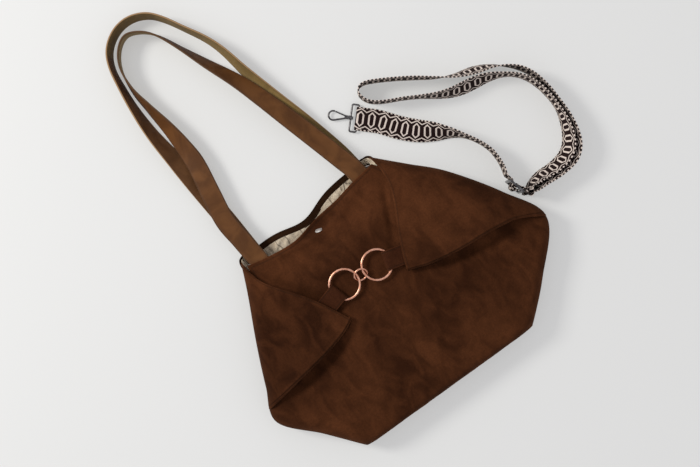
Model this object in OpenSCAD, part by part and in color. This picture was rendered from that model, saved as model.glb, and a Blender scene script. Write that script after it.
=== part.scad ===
// Soft suede trapeze bag lying on its back, with its shoulder strap laid beside it.
// Millimetres. The table is z = 0, +Y runs from the base to the mouth and on to the
// handles, and the origin is on the table under the middle of the body.

/* [Body] */
// Height of the body from the mouth corners to the base
body_h = 294; // [250:1:340]
// Width of the mouth between its two corners
mouth_w = 210; // [180:1:240]
// Reach of the body to the left of the middle, at its widest
left_reach = 198; // [180:1:215]
// Reach of the body to the right of the middle, at its widest
right_reach = 229; // [210:1:245]
// Width of the base
base_w = 258; // [230:1:280]
// Thickness of the filled body under the wings
body_top = 37; // [34:0.5:44]
// Height of the gaping front edge of the mouth
mouth_top = 27; // [23:0.5:32]
// Thickness of the suede
suede_t = 1.5; // [1:0.1:2]
// Thickness of the lining
lining_t = 0.5; // [0.4:0.1:0.8]
// Depth of the suede facing inside the mouth
facing_w = 9.5; // [6:0.5:16]
// Thickness of the facing
facing_t = 1; // [0.7:0.1:1.4]

/* [Wings] */
// Gap between the front panel and a wing along its fold
wing_gap = 0.5; // [0.3:0.1:1]
// Distance from the side of the body to the straight fold line
fold_inset = 18; // [17:0.5:22]

/* [Ring chain] */
// Outer diameter of the two large rings
ring_d = 41; // [36:0.5:46]
// Wire of the large rings
ring_wire = 3; // [2.4:0.1:3.4]
// Outer diameter of the small link
link_d = 19; // [18:0.5:22]
// Wire of the small link
link_wire = 2.3; // [1.8:0.1:2.5]
// Width of the leather tabs
tab_w = 25; // [20:0.5:28]
// Length of a tab from its fold to its sewn end
tab_len = 50; // [40:1:60]
// Thickness of one layer of a tab
tab_t = 1.3; // [1:0.1:1.6]

/* [Handles] */
// Width of the handle straps
handle_w = 25; // [20:0.5:28]
// Thickness of the handle straps
handle_t = 2.5; // [2:0.1:3]
// Length of a handle's sewn end inside the mouth
handle_end = 30; // [20:1:40]

/* [Snap] */
// Diameter of the snap's cap
cap_d = 11; // [9:0.5:13]
// Diameter of the snap's socket and stud plates
snap_d = 14; // [12:0.5:16]
// Height of the front panel's face where the snap holds it down
snap_top = 10; // [9:0.25:14]

/* [Strap] */
// Width of the woven webbing
webbing_w = 30; // [25:0.5:32]
// Thickness of the woven webbing
webbing_t = 1.6; // [1.2:0.1:1.8]
// Wire of the hook's square ring
loop_wire = 2.4; // [2:0.1:2.8]
// Inside depth of the hook's square ring
loop_depth = 6.6; // [6.4:0.1:9]
// Wire of the hook
hook_wire = 2.3; // [1.8:0.1:2.6]
// Width of the teardrop hook
hook_w = 14; // [12:0.5:16]
// Length of the teardrop hook
hook_len = 22; // [20:0.5:26]
// Bar of the sliding buckle, along the webbing
slider_bar = 3; // [2.4:0.1:3.4]
// Slot of the sliding buckle, along the webbing
slider_slot = 7; // [6.6:0.1:8]
// Thickness of the sliding buckle
slider_t = 2.5; // [2:0.1:2.8]

/* [Strap rings] */
// Inside width of the two strap rings
dring_w = 13; // [12:0.5:15]
// Wire of the two strap rings
dring_wire = 2.4; // [2:0.1:2.8]
// Width of the leather loops that hold them
dring_loop_w = 11; // [9:0.5:11.5]

/* [Hidden] */

suede = [0.27, 0.15, 0.09];
cream = [0.87, 0.80, 0.69];
leather = [0.50, 0.33, 0.21];
copper = [0.86, 0.55, 0.44];
nickel = [0.80, 0.78, 0.76];
gunmetal = [0.22, 0.21, 0.20];
weave = [0.62, 0.52, 0.46];

// Running clearance between loose pieces, and the gap between sewn layers
clear = 0.3;
lay = 0.15;

// Small helpers: a blend, a soft step, a unit vector and a smooth curve through points
function mix(a, b, t) = a + (b - a) * t;
function soft(t) = let (c = max(0, min(1, t))) c * c * (3 - 2 * c);
function unit(v) = v / norm(v);
function curve_at(p, t) =
    let (n = len(p) - 1, i = max(0, min(n - 1, floor(t))), f = t - i,
         a = p[max(0, i - 1)], b = p[i], c = p[i + 1], d = p[min(n, i + 2)])
    0.5 * ((2 * b) + (c - a) * f + (2 * a - 5 * b + 4 * c - d) * f * f
           + (3 * b - a - 3 * c + d) * f * f * f);
function smooth_curve(p, cuts) =
    [for (i = [0 : cuts * (len(p) - 1)]) curve_at(p, i / cuts)];

// The two sides of the body, from mouth corner to base corner, at mid height.
// Rows join the same place on both sides: 0 is the mouth, 4 the widest point, 6 the base.
base_y = 148 - body_h;
left_side = [[4 - mouth_w / 2 - 6, 146], [-128, 104], [-156, 53], [-180, 5],
             [-left_reach, -38], [mix(-left_reach, 1 - base_w / 2, 0.53), -87],
             [1 - base_w / 2, base_y + 14]];
right_side = [[mouth_w / 2 - 2, 148], [135, 111], [168, 72], [206, 8],
              [right_reach, -52], [mix(right_reach, 1 + base_w / 2, 0.52), -107],
              [1 + base_w / 2, base_y]];
widest = 4;
base_row = 6;
side_cuts = 16;
left_table = [for (p = smooth_curve(left_side, side_cuts)) [p.y, p.x]];
right_table = [for (p = smooth_curve(right_side, side_cuts)) [p.y, p.x]];
function left_x(y) = lookup(y, left_table);
function right_x(y) = lookup(y, right_table);
function base_line(x) =
    mix(left_side[base_row].y, right_side[base_row].y,
        (x - left_side[base_row].x) / (right_side[base_row].x - left_side[base_row].x));

// The mouth's two edges, seen from above
front_edge = [[-104, 138], [-72, 129.5], [-36, 124.5], [0, 129.5], [32, 131.5],
              [64, 136], [98, 139]];
front_edge_fine = smooth_curve(front_edge, 4);
function front_mouth(x) = lookup(x, front_edge_fine);
back_dip = 12;
back_dip_w = 32;
back_dip_x = -12;
function back_mouth(x) = mix(150, 151.5, (x + 100) / 200)
    - back_dip * exp(-pow((x - back_dip_x) / back_dip_w, 2));

// Height of the front panel's face over any point of the plan. It is full in the body,
// rounds down at the sides and base, falls towards the mouth and is drawn down at the snap.
side_round = 21;
mouth_side_round = 8;
base_round = 9;
mouth_fall = 62;
snap_at = [-5, 116];
snap_flat = snap_d / 2 + 3.5;
snap_reach = 34;
function rim(d, r) = let (k = 1 - max(0, min(1, d / r))) sqrt(1 - k * k);
function from_mouth_edge(x, y) = front_mouth(x) - y;
function side_rim(x, y) =
    let (r = mix(mouth_side_round, side_round, soft(from_mouth_edge(x, y) / mouth_fall)))
    min(rim(0.85 * (x - left_x(y)), r), rim(0.8 * (right_x(y) - x), r));
function full_height(x, y) =
    mix(mouth_top, body_top, soft(from_mouth_edge(x, y) / mouth_fall));
function base_drop(x, y) = base_round * (1 - rim(y - base_line(x), base_round));
function face_z(x, y) =
    let (s = side_rim(x, y),
         free = full_height(x, y) * (0.5 + 0.5 * s) - base_drop(x, y) * s,
         pull = soft((norm([x, y] - snap_at) - snap_flat) / snap_reach))
    mix(snap_top, free, pull);
function face_normal(x, y) =
    let (e = 0.6)
    unit([face_z(x - e, y) - face_z(x + e, y), face_z(x, y - e) - face_z(x, y + e), 2 * e]);
// A point a given depth below the front panel's face
function below_face(x, y, depth) = [x, y, face_z(x, y)] - depth * face_normal(x, y);

// A closed sheet between two grids of points of the same size, upper and lower
module sheet(upper, lower) {
    rows = len(upper);
    cols = len(upper[0]);
    half = rows * cols;
    points = [for (grid = [upper, lower]) for (row = grid) for (p = row) p];
    function at(i, j) = i * cols + j;
    top = [for (i = [0 : rows - 2]) for (j = [0 : cols - 2])
        each [[at(i, j), at(i + 1, j + 1), at(i + 1, j)],
              [at(i, j), at(i, j + 1), at(i + 1, j + 1)]]];
    bottom = [for (f = top) [f[2] + half, f[1] + half, f[0] + half]];
    edge = concat([for (j = [0 : cols - 1]) at(0, j)],
                  [for (i = [1 : rows - 1]) at(i, cols - 1)],
                  [for (j = [cols - 2 : -1 : 0]) at(rows - 1, j)],
                  [for (i = [rows - 2 : -1 : 1]) at(i, 0)]);
    around = len(edge);
    sides = [for (k = [0 : around - 1])
        let (a = edge[k], b = edge[(k + 1) % around])
        each [[a, b + half, b], [a, a + half, b + half]]];
    polyhedron(points, concat(top, bottom, sides), convexity = 6);
}

// A flat strap along a route of [x, y, z, turn] points. Turn 0 lies flat, 90 stands on edge.
function tangent(p, i) = let (n = len(p) - 1, a = p[max(0, i - 1)], b = p[min(n, i + 1)])
    unit([b.x - a.x, b.y - a.y, b.z - a.z]);
function across(t, turn) =
    let (h = unit([-t.y, t.x, 0]), v = cross(t, h)) cos(turn) * h + sin(turn) * v;
module strap(route, w, t) {
    n = len(route);
    points = [for (i = [0 : n - 1])
        let (d = tangent(route, i), a = across(d, route[i][3]), b = cross(d, a),
             c = [route[i].x, route[i].y, route[i].z])
        each [c - a * w / 2 - b * t / 2, c + a * w / 2 - b * t / 2,
              c + a * w / 2 + b * t / 2, c - a * w / 2 + b * t / 2]];
    sides = [for (i = [0 : n - 2]) for (k = [0 : 3])
        let (a = 4 * i + k, b = 4 * i + (k + 1) % 4)
        each [[a, b + 4, b], [a, a + 4, b + 4]]];
    caps = [[0, 1, 2], [0, 2, 3], [4 * n - 2, 4 * n - 3, 4 * n - 4],
            [4 * n - 1, 4 * n - 2, 4 * n - 4]];
    polyhedron(points, concat(sides, caps), convexity = 8);
}

// Body: fold lines of the wings, straight and a little inside the sides
left_fold_dir = unit(left_side[widest] - left_side[0]);
left_in = [-left_fold_dir.y, left_fold_dir.x];
right_fold_dir = unit(right_side[widest] - right_side[0]);
right_in = [right_fold_dir.y, -right_fold_dir.x];
left_fold = [left_side[0] + fold_inset * left_in, left_side[widest] + fold_inset * left_in];
right_fold = [right_side[0] + fold_inset * right_in,
              right_side[widest] + fold_inset * right_in];
fold_slit = 1.2;

wing_stack = 2 * suede_t + 2 * lining_t + 2 * lay;
// The fold at the side is narrow at the mouth corner and full from a little below it
roll_r = 15;
mouth_roll_r = 6;
function roll_at(row) = mix(mouth_roll_r, roll_r, soft(row / 0.8));

// The back panel's turned-up border: at every station the panel leaves the table, rounds
// the side and, above the widest point, rolls over the side as far as the fold line.
function station(row, left) =
    let (side = left ? left_side : right_side, fold = left ? left_fold : right_fold,
         e = curve_at(side, row), ahead = curve_at(side, min(base_row, row + 0.1)),
         behind = curve_at(side, max(0, row - 0.1)), d = unit(ahead - behind),
         inward = left ? [-d.y, d.x] : [d.y, -d.x],
         fn = left ? left_in : right_in,
         r = roll_at(row),
         to_fold = max(roll_r + 1.5, ((fold[0] - e) * fn - fold_slit) / (inward * fn)),
         reach = mix(mouth_roll_r + 1.5, to_fold, soft(row / 0.8)),
         hinge = e + inward * reach,
         over = 1 - soft((row - 3.9) / 0.35),
         top = face_z(hinge.x, hinge.y) + wing_gap + wing_stack,
         low = full_height(e.x, e.y) / 2)
    [e, inward, mix(low, top / 2, over), over, reach, r];
roll_steps = 10;
function border_section(s, depth) =
    let (e = s[0], n = s[1], h = s[2], over = s[3], reach = s[4], r = s[5])
    concat([for (k = [0 : roll_steps])
        let (phi = -90 + k / roll_steps * mix(95, 180, over),
             x = depth + (r - depth) * (1 - cos(phi)),
             z = depth + (h - depth) * (1 + sin(phi)), p = e + n * x)
        [p.x, p.y, z]],
        [let (phi = mix(9, 90, over),
              x = mix(depth + (r - depth) * (1 - cos(phi)), reach, soft(5 * over - 4)),
              z = depth + (h - depth) * (1 + sin(phi)), p = e + n * x)
         [p.x, p.y, z + 0.01]]);
border_rows = [0, 0.2, 0.4, 0.6, 0.8, 1.2, 1.6, 2, 2.4, 2.8, 3.2, 3.6, 3.8, 3.9, 4, 4.08,
               4.16, 4.25, 4.4, 4.6, 5, 5.4, 5.7, 5.88];
module border(left) {
    outer = [for (r = border_rows) border_section(station(r, left), 0)];
    inner = [for (r = border_rows) border_section(station(r, left), suede_t)];
    if (left)
        sheet(outer, inner);
    else
        sheet(inner, outer);
}
// Plan of the part of the back panel that lies flat on the table
module flat_plan(inset, from_mouth) {
    left_pts = [for (r = border_rows) let (s = station(r, true))
        s[0] + s[1] * (s[5] + inset)];
    right_pts = [for (r = border_rows) let (s = station(r, false))
        s[0] + s[1] * (s[5] + inset)];
    base_margin = base_round + max(lay, inset);
    last = len(border_rows) - 1;
    steps = 28;
    x0 = left_pts[0].x;
    x1 = right_pts[0].x;
    mouth = [for (k = [0 : steps]) let (x = mix(x1, x0, k / steps))
        [x, back_mouth(x) - from_mouth]];
    bl = [left_pts[last].x, base_line(left_pts[last].x) + base_margin];
    br = [right_pts[last].x, base_line(right_pts[last].x) + base_margin];
    polygon(concat(mouth, [for (k = [1 : last - 1]) left_pts[k]], [bl, br],
                   [for (k = [last - 1 : -1 : 1]) right_pts[k]]));
}

module back_panel() {
    color(suede) {
        linear_extrude(suede_t) flat_plan(-0.6, 0);
        border(true);
        border(false);
    }
}

// Grid of plan points shared by all layers of the front panel, so that they stay parallel.
// The first rows follow the mouth edge at set depths and the others join the two sides.
// Its sides are hidden under the wings as far as the widest point, and below it they reach
// the side seams.
mouth_rows = [0, facing_w / 2, facing_w, facing_w + 0.5];
side_rows = [0.35, 0.52, 0.7, 0.9, 1.1, 1.3, 1.5, 1.7, 2, 2.4, 2.8, 3.2, 3.6, 3.8, 3.9, 4,
             4.08, 4.16, 4.25, 4.4, 4.6, 5, 5.4, 5.7, 5.85, 5.95, 6];
first_side_row = len(mouth_rows);
last_row = first_side_row + len(side_rows) - 1;
columns = [0, 0.008, 0.025, 0.05, 0.09, 0.14, 0.2, 0.26, 0.32, 0.37, 0.41, 0.445, 0.48,
           0.515, 0.55, 0.59, 0.64, 0.7, 0.76, 0.82, 0.88, 0.92, 0.955, 0.978, 0.992, 1];
last_column = len(columns) - 1;
seam_edge = 0.4;
mouth_left = left_fold[0] - 2 * left_in;
mouth_right = right_fold[0] - 2 * right_in;
function mouth_chord(x) =
    mix(mouth_left.y, mouth_right.y, (x - mouth_left.x) / (mouth_right.x - mouth_left.x));
function front_side(row, left) =
    let (s = station(min(row, 5.97), left),
         under_roll = mix(s[4] - 2, 9, soft((row - 3.6) / 0.35)),
         hidden = mix(under_roll, seam_edge, soft((row - 4.02) / 0.23)))
    s[0] + s[1] * hidden;
function front_plan(k, column) =
    let (at_mouth = k < first_side_row,
         row = at_mouth ? mouth_rows[k] / 45 : side_rows[k - first_side_row],
         p = mix(front_side(row, true), front_side(row, false), columns[column]),
         bow = front_mouth(p.x) - mouth_chord(p.x),
         spaced = front_mouth(p.x) - facing_w - 3 * (k - first_side_row + 1),
         y = min(spaced, p.y + bow * (1 - soft(row / 2))))
    [p.x, at_mouth ? front_mouth(p.x) - mouth_rows[k]
                   : max(base_line(p.x) + seam_edge, y)];
module front_layer(first, last, trim, depth, t) {
    plan = [for (k = [first : last]) [for (j = [trim : last_column - trim])
        front_plan(k, j)]];
    sheet([for (r = plan) [for (p = r) below_face(p.x, p.y, depth)]],
          [for (r = plan) [for (p = r) below_face(p.x, p.y, depth + t)]]);
}
module front_panel() {
    color(suede) front_layer(0, last_row, 0, 0, suede_t);
}
module front_lining() {
    color(cream)
        front_layer(first_side_row - 1, last_row - 2, 0, suede_t + lay, lining_t);
}
module front_facing() {
    color(suede) front_layer(0, first_side_row - 2, 1, suede_t + lay, facing_t);
}

// A patch under the front panel's face, following it, between two x and two depths from
// the mouth edge
module mouth_patch(x0, x1, y0, y1, cols, rows, depth, t) {
    plan = [for (i = [0 : rows]) [for (j = [0 : cols])
        let (x = mix(x0, x1, j / cols)) [x, front_mouth(x) - mix(y0, y1, i / rows)]]];
    sheet([for (r = plan) [for (p = r) below_face(p.x, p.y, depth)]],
          [for (r = plan) [for (p = r) below_face(p.x, p.y, depth + t)]]);
}
// The base panel: it leaves the table in a small round and stands up to the front panel
base_steps = 30;
base_levels = 9;
base_bulge = 2;
function base_point(u, k, depth) =
    let (a = left_side[base_row], b = right_side[base_row], d = unit(b - a),
         out = [d.y, -d.x], p = mix(a + 2.5 * d, b - 2.5 * d, (1 - cos(180 * u)) / 2),
         s = max(0.1, side_rim(p.x, p.y)), top = face_z(p.x, p.y + seam_edge) - 0.6,
         low = mix(body_top / 2 - 0.6, base_round, s), phi = -90 + 22.5 * min(k, 4),
         up = max(0, k - 4) / (base_levels - 4),
         inset = depth + (base_round * s - depth) * (1 - cos(phi))
                 - base_bulge * s * sin(180 * up),
         z = k <= 4 ? depth + (low - depth) * (1 + sin(phi)) : mix(low, top, up))
    [p.x - out.x * inset, p.y - out.y * inset, z];
module base_sheet(depth, t) {
    sheet([for (i = [0 : base_steps]) [for (k = [0 : base_levels])
               base_point(i / base_steps, k, depth)]],
          [for (i = [0 : base_steps]) [for (k = [0 : base_levels])
               base_point(i / base_steps, k, depth + t)]]);
}
module base_panel() {
    color(suede) base_sheet(0, suede_t);
}
module base_lining() {
    color(cream) base_sheet(suede_t + lay, lining_t);
}

// Flat layers on the inside of the back panel
module back_lining() {
    color(cream) translate([0, 0, suede_t]) linear_extrude(lining_t)
        difference() {
            flat_plan(2, facing_w + 0.5);
            translate(snap_at) circle(d = snap_d - 2 + 2 * clear, $fn = 48);
        }
}
module back_facing() {
    steps = 30;
    x0 = left_fold[0].x - 3;
    x1 = right_fold[0].x + 3;
    edge = [for (k = [0 : steps]) let (x = mix(x0, x1, k / steps)) [x, back_mouth(x)]];
    color(suede) translate([0, 0, suede_t]) linear_extrude(facing_t)
        polygon(concat([for (p = edge) [p.x, p.y - 0.4]],
                       [for (k = [steps : -1 : 0]) [edge[k].x, edge[k].y - facing_w]]));
}

// Handles. Route points are the middle of the strap, and the last number is its turn.
front_left_x = -86.9;
front_right_x = 78.5;
back_left_x = -88.5;
back_right_x = 78.5;
front_end_depth = suede_t + facing_t + 0.8;
front_end_z = mouth_top - front_end_depth - handle_t / 2;
back_end_z = suede_t + facing_t + lay + handle_t / 2;
free_start = 3;
front_start = free_start
    + max([for (x = [front_left_x, front_right_x]) for (side = [-1, 1])
        front_mouth(x + side * handle_w / 2)]);
back_start = free_start + max(back_mouth(back_left_x), back_mouth(back_right_x));
front_route = [[front_left_x, front_start, front_end_z, 0],
    [-87.3, 150, 22.6, 0], [-88, 170, 21.8, 0], [-89, 200, 20, 0], [-81.5, 238, 18, -3],
    [-73, 278, 16, -14], [-71.5, 305, 15.2, -30], [-72, 335, 14.5, -48],
    [-75, 370, 13.8, -66], [-77, 402, 13.3, -78], [-71.5, 432, 13, -84],
    [-58, 452, 13, -84], [-40, 460.5, 13, -84], [-21, 451, 13, -84], [-8, 434, 13, -82],
    [4, 405, 13.2, -76], [17, 370, 14.8, -60], [33, 328, 19.6, -42], [44, 290, 22.4, -28],
    [54.5, 248, 22.4, -15], [66, 200, 22.6, -5], [74, 165, 22.2, 0], [77.5, 150, 22.6, 0],
    [front_right_x, front_start, front_end_z, 0]];
back_route = [[back_left_x, back_start, back_end_z, 0],
    [-88.5, 164, 3.3, 0], [-88.5, 200, 3, 0], [-89.5, 248, 6.2, 15], [-91, 298, 10, 38],
    [-92.5, 344, 12, 58], [-90, 383, 12.9, 72], [-84.7, 418, 13.1, 80],
    [-79.5, 440, 13.1, 84], [-70.5, 456.5, 13.1, 84], [-56.5, 468, 13.1, 84],
    [-38.5, 474, 13.1, 84], [-20, 472.5, 13.1, 84], [-2.5, 463, 13.1, 84],
    [10.3, 446.5, 13.1, 84], [23, 421.5, 13.1, 84], [36, 394, 13, 80],
    [43.5, 368, 12.9, 74], [49, 330, 12.4, 64], [57.5, 279, 10, 44],
    [65, 240, 7.6, 27], [71.5, 205, 5, 12], [76.5, 176, 3.6, 3],
    [back_right_x, back_start, back_end_z, 0]];
module front_handle() {
    color(leather) strap(smooth_curve(front_route, 2), handle_w, handle_t);
}
module back_handle() {
    color(leather) strap(smooth_curve(back_route, 2), handle_w, handle_t);
}
module front_handle_ends() {
    for (x = [front_left_x, front_right_x])
        color(leather)
            mouth_patch(x - handle_w / 2, x + handle_w / 2, 0.6, handle_end, 4, 5,
                        front_end_depth, handle_t);
}
module back_handle_ends() {
    for (x = [back_left_x, back_right_x])
        color(leather)
            translate([x - handle_w / 2, back_mouth(x) - handle_end - 0.5,
                       back_end_z - handle_t / 2])
                cube([handle_w, handle_end, handle_t]);
}

// Snap: a cap and socket through the front panel, a stud and washer on the back one
cap_h = 2.2;
socket_h = 3;
socket_top = snap_top - suede_t - max(facing_t, lining_t) - 3 * lay;
stud_r = 3;
module snap_cap() {
    color(nickel) translate([snap_at.x, snap_at.y, snap_top + 2 * lay])
        intersection() {
            cylinder(d = cap_d, h = cap_h, $fn = 48);
            translate([0, 0, cap_h - 9]) sphere(r = 9, $fn = 64);
        }
}
module snap_socket() {
    color(nickel) translate([snap_at.x, snap_at.y, socket_top - socket_h])
        difference() {
            cylinder(d = snap_d, h = socket_h, $fn = 48);
            translate([0, 0, -1]) cylinder(r = stud_r + 0.15, h = 3, $fn = 40);
        }
}
module snap_stud() {
    plate = 1;
    color(nickel) translate([snap_at.x, snap_at.y, suede_t + lining_t]) {
        cylinder(d = snap_d, h = plate, $fn = 48);
        cylinder(r = stud_r, h = socket_top - socket_h - suede_t - lining_t + 1.4,
                 $fn = 40);
    }
}
module snap_washer() {
    washer_t = 0.4;
    color(nickel) translate([snap_at.x, snap_at.y, suede_t + 0.05])
        difference() {
            cylinder(d = snap_d - 2, h = washer_t, $fn = 48);
            translate([0, 0, -1]) cylinder(r = 1.2, h = 3, $fn = 24);
        }
}

// Strap rings at the mouth corners, each held in a folded leather loop
dring_loop_t = 1.2;
dring_r = dring_wire / 2;
dring_eye = dring_r + lay + dring_loop_t;
dring_z = back_end_z + handle_t / 2 + lay + dring_eye;
dring_tail = 16;
left_dring_at = [-96, 129, dring_z];
right_dring_at = [91, 131, dring_z];
module dring_loop(at) {
    color(suede) translate(at) rotate([90, 0, 90])
        linear_extrude(dring_loop_w, center = true)
            difference() {
                union() {
                    circle(r = dring_eye, $fn = 40);
                    translate([-dring_tail, -dring_eye])
                        square([dring_tail, 2 * dring_loop_t]);
                }
                circle(r = dring_r + lay, $fn = 40);
            }
}
// A D: a straight bar along X, two short legs and a half round, lying flat
module dring(at) {
    half = dring_w / 2 + dring_r;
    leg = 3;
    color(nickel) translate(at) {
        rotate([0, 90, 0]) cylinder(r = dring_r, h = 2 * half, center = true, $fn = 32);
        for (side = [-1, 1]) {
            translate([side * half, 0, 0]) sphere(r = dring_r, $fn = 32);
            translate([side * half, 0, 0]) rotate([-90, 0, 0])
                cylinder(r = dring_r, h = leg, $fn = 32);
        }
        translate([0, leg, 0]) rotate_extrude(angle = 180, $fn = 72)
            translate([half, 0]) circle(r = dring_r, $fn = 32);
    }
}
module left_dring_loop() { dring_loop(left_dring_at); }
module right_dring_loop() { dring_loop(right_dring_at); }
module left_dring() { dring(left_dring_at); }
module right_dring() { dring(right_dring_at); }

// Wings: each is folded at its straight line and narrows to a tip at the chain.
// Both curves run from the fold to the tip, along the mouth edge and along the side seam.
function on_fold(fold, f) = mix(fold[0], fold[1], f);
left_mouth_edge = [on_fold(left_fold, 0.14), [-97, 103], [-78, 79], [-66, 59], [-56, 40],
                   [-47.5, 20], [-41, 5]];
left_seam_edge = [on_fold(left_fold, 0.845), [-136, -14.5], [-112, -12.5], [-89.5, -10],
                  [-70, -6.5], [-54, -2.5], [-43, 1.5]];
right_mouth_edge = [on_fold(right_fold, 0.1), [98, 104], [88, 86], [79, 70], [71, 56],
                    [62, 36], [50, 9]];
right_seam_edge = [on_fold(right_fold, 0.88), [159, -19.5], [137, -15.5], [115, -12.5],
                   [96, -9.5], [78, -5.5], [62, -0.5]];
wing_steps = 12;
wing_cols = 16;
tab_clear = 0.4;
tip_gap = 2 * tab_t + 2 * tab_clear;
function wing_point(left, i, j, height) =
    let (mouth = left ? left_mouth_edge : right_mouth_edge,
         seam = left ? left_seam_edge : right_seam_edge, n = len(mouth) - 1,
         f = pow(i / wing_steps, 1.5), p = mix(curve_at(mouth, f * n), curve_at(seam, f * n),
                                     j / wing_cols))
    [p.x, p.y, face_z(p.x, p.y) + mix(wing_gap, tip_gap, soft(f / 0.42)) + height];
module wing_layer(left, low, t) {
    function grid(h) = [for (i = [0 : wing_steps]) [for (j = [0 : wing_cols])
        wing_point(left, i, j, h)]];
    if (left)
        sheet(grid(low), grid(low + t));
    else
        sheet(grid(low + t), grid(low));
}
lining_low = suede_t + lay;
outer_low = wing_stack - suede_t;
module left_wing_inner() { color(suede) wing_layer(true, 0, suede_t); }
module left_wing_lining() { color(cream) wing_layer(true, lining_low, 2 * lining_t); }
module left_wing_outer() { color(suede) wing_layer(true, outer_low, suede_t); }
module right_wing_inner() { color(suede) wing_layer(false, 0, suede_t); }
module right_wing_lining() { color(cream) wing_layer(false, lining_low, 2 * lining_t); }
module right_wing_outer() { color(suede) wing_layer(false, outer_low, suede_t); }

// Chain: two rings in leather tabs, joined by a tilted link
ring_r = (ring_d - ring_wire) / 2;
link_r = (link_d - link_wire) / 2;
left_ring_at = [-21.5, 43.5];
right_ring_at = [25, 37.5];
left_tab_dir = unit([-0.97, -0.22]);
right_tab_dir = unit([0.95, -0.31]);
tab_hollow = ring_wire + 1.6;
tab_z = body_top + tab_clear + tab_t + tab_hollow / 2;
chain_dir = unit(right_ring_at - left_ring_at);
link_at = (left_ring_at + right_ring_at) / 2;
link_tilt = 36;
link_z = body_top + 0.8 + link_r * sin(link_tilt) + link_wire / 2;
// Part of the ring's radius by which the tab's fold stands off the ring's middle
tab_fold_at = 9.5;
tab_hollow_len = ring_r + ring_wire / 2 - tab_fold_at;
module torus(r, wire) {
    rotate_extrude($fn = 96) translate([r, 0]) circle(d = wire, $fn = 32);
}
module ring(at, dir) {
    rise = asin((link_z - tab_z) / (2 * ring_r));
    color(copper)
        translate([at.x, at.y, (link_z + tab_z) / 2])
            rotate([0, 0, atan2(dir.y, dir.x)]) rotate([0, rise, 0])
                torus(ring_r, ring_wire);
}
module tab(at, dir) {
    r = tab_hollow / 2;
    r_out = r + tab_t;
    color(leather)
        translate([at.x + dir.x * tab_fold_at, at.y + dir.y * tab_fold_at, tab_z])
            rotate([90, 0, atan2(dir.y, dir.x)])
                linear_extrude(tab_w, center = true)
                    difference() {
                        union() {
                            translate([r_out, 0]) circle(r = r_out, $fn = 40);
                            translate([r_out, -r_out])
                                square([tab_hollow_len - r_out, 2 * r_out]);
                            translate([tab_hollow_len, 0]) circle(r = r_out, $fn = 40);
                            translate([tab_hollow_len, -r_out])
                                square([tab_len - tab_hollow_len, 2 * tab_t]);
                        }
                        translate([r_out, 0]) circle(r = r, $fn = 32);
                        translate([r_out, -r]) square([tab_hollow_len - r_out, 2 * r]);
                        translate([tab_hollow_len, 0]) circle(r = r, $fn = 32);
                    }
}
module left_ring() { ring(left_ring_at, left_tab_dir); }
module right_ring() { ring(right_ring_at, right_tab_dir); }
module left_tab() { tab(left_ring_at, left_tab_dir); }
module right_tab() { tab(right_ring_at, right_tab_dir); }
module link_ring() {
    color(copper) translate([link_at.x, link_at.y, link_z])
        rotate([0, 0, atan2(chain_dir.y, chain_dir.x)]) rotate([link_tilt, 0, 0])
            torus(link_r, link_wire);
}

// Shoulder strap. The webbing runs flat from the hook, turns on edge, passes through the
// sliding buckle, goes once round the loop and comes back to the buckle's middle bar.
hook_at = [123, 196];
hook_dir = [-0.687, 0.726];
hook_turn = atan2(hook_dir.y, hook_dir.x);
loop_r = loop_wire / 2;
wrap_r = loop_r + clear + webbing_t / 2;
loop_z = wrap_r + webbing_t / 2 + 0.3;
slider_at = [222, 4];
slider_dir = unit([0.18, -0.98]);
slider_side = [-slider_dir.y, slider_dir.x];
slider_h = webbing_w + 7.2;
slider_z = slider_h / 2 + 0.2;
edge_z = webbing_w / 2 + 0.4;
function by_slider(t, n, z) =
    let (p = slider_at + slider_dir * t + slider_side * n) [p.x, p.y, z, 90];
pass = slider_t / 2 + webbing_t + 0.9;
over_wrap = slider_t / 2 + 2 * webbing_t + 4 * lay;
bar_pitch = slider_bar + slider_slot;
function by_hook(t, z) =
    let (p = hook_at - hook_dir * t) [p.x, p.y, z, 0];
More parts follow.
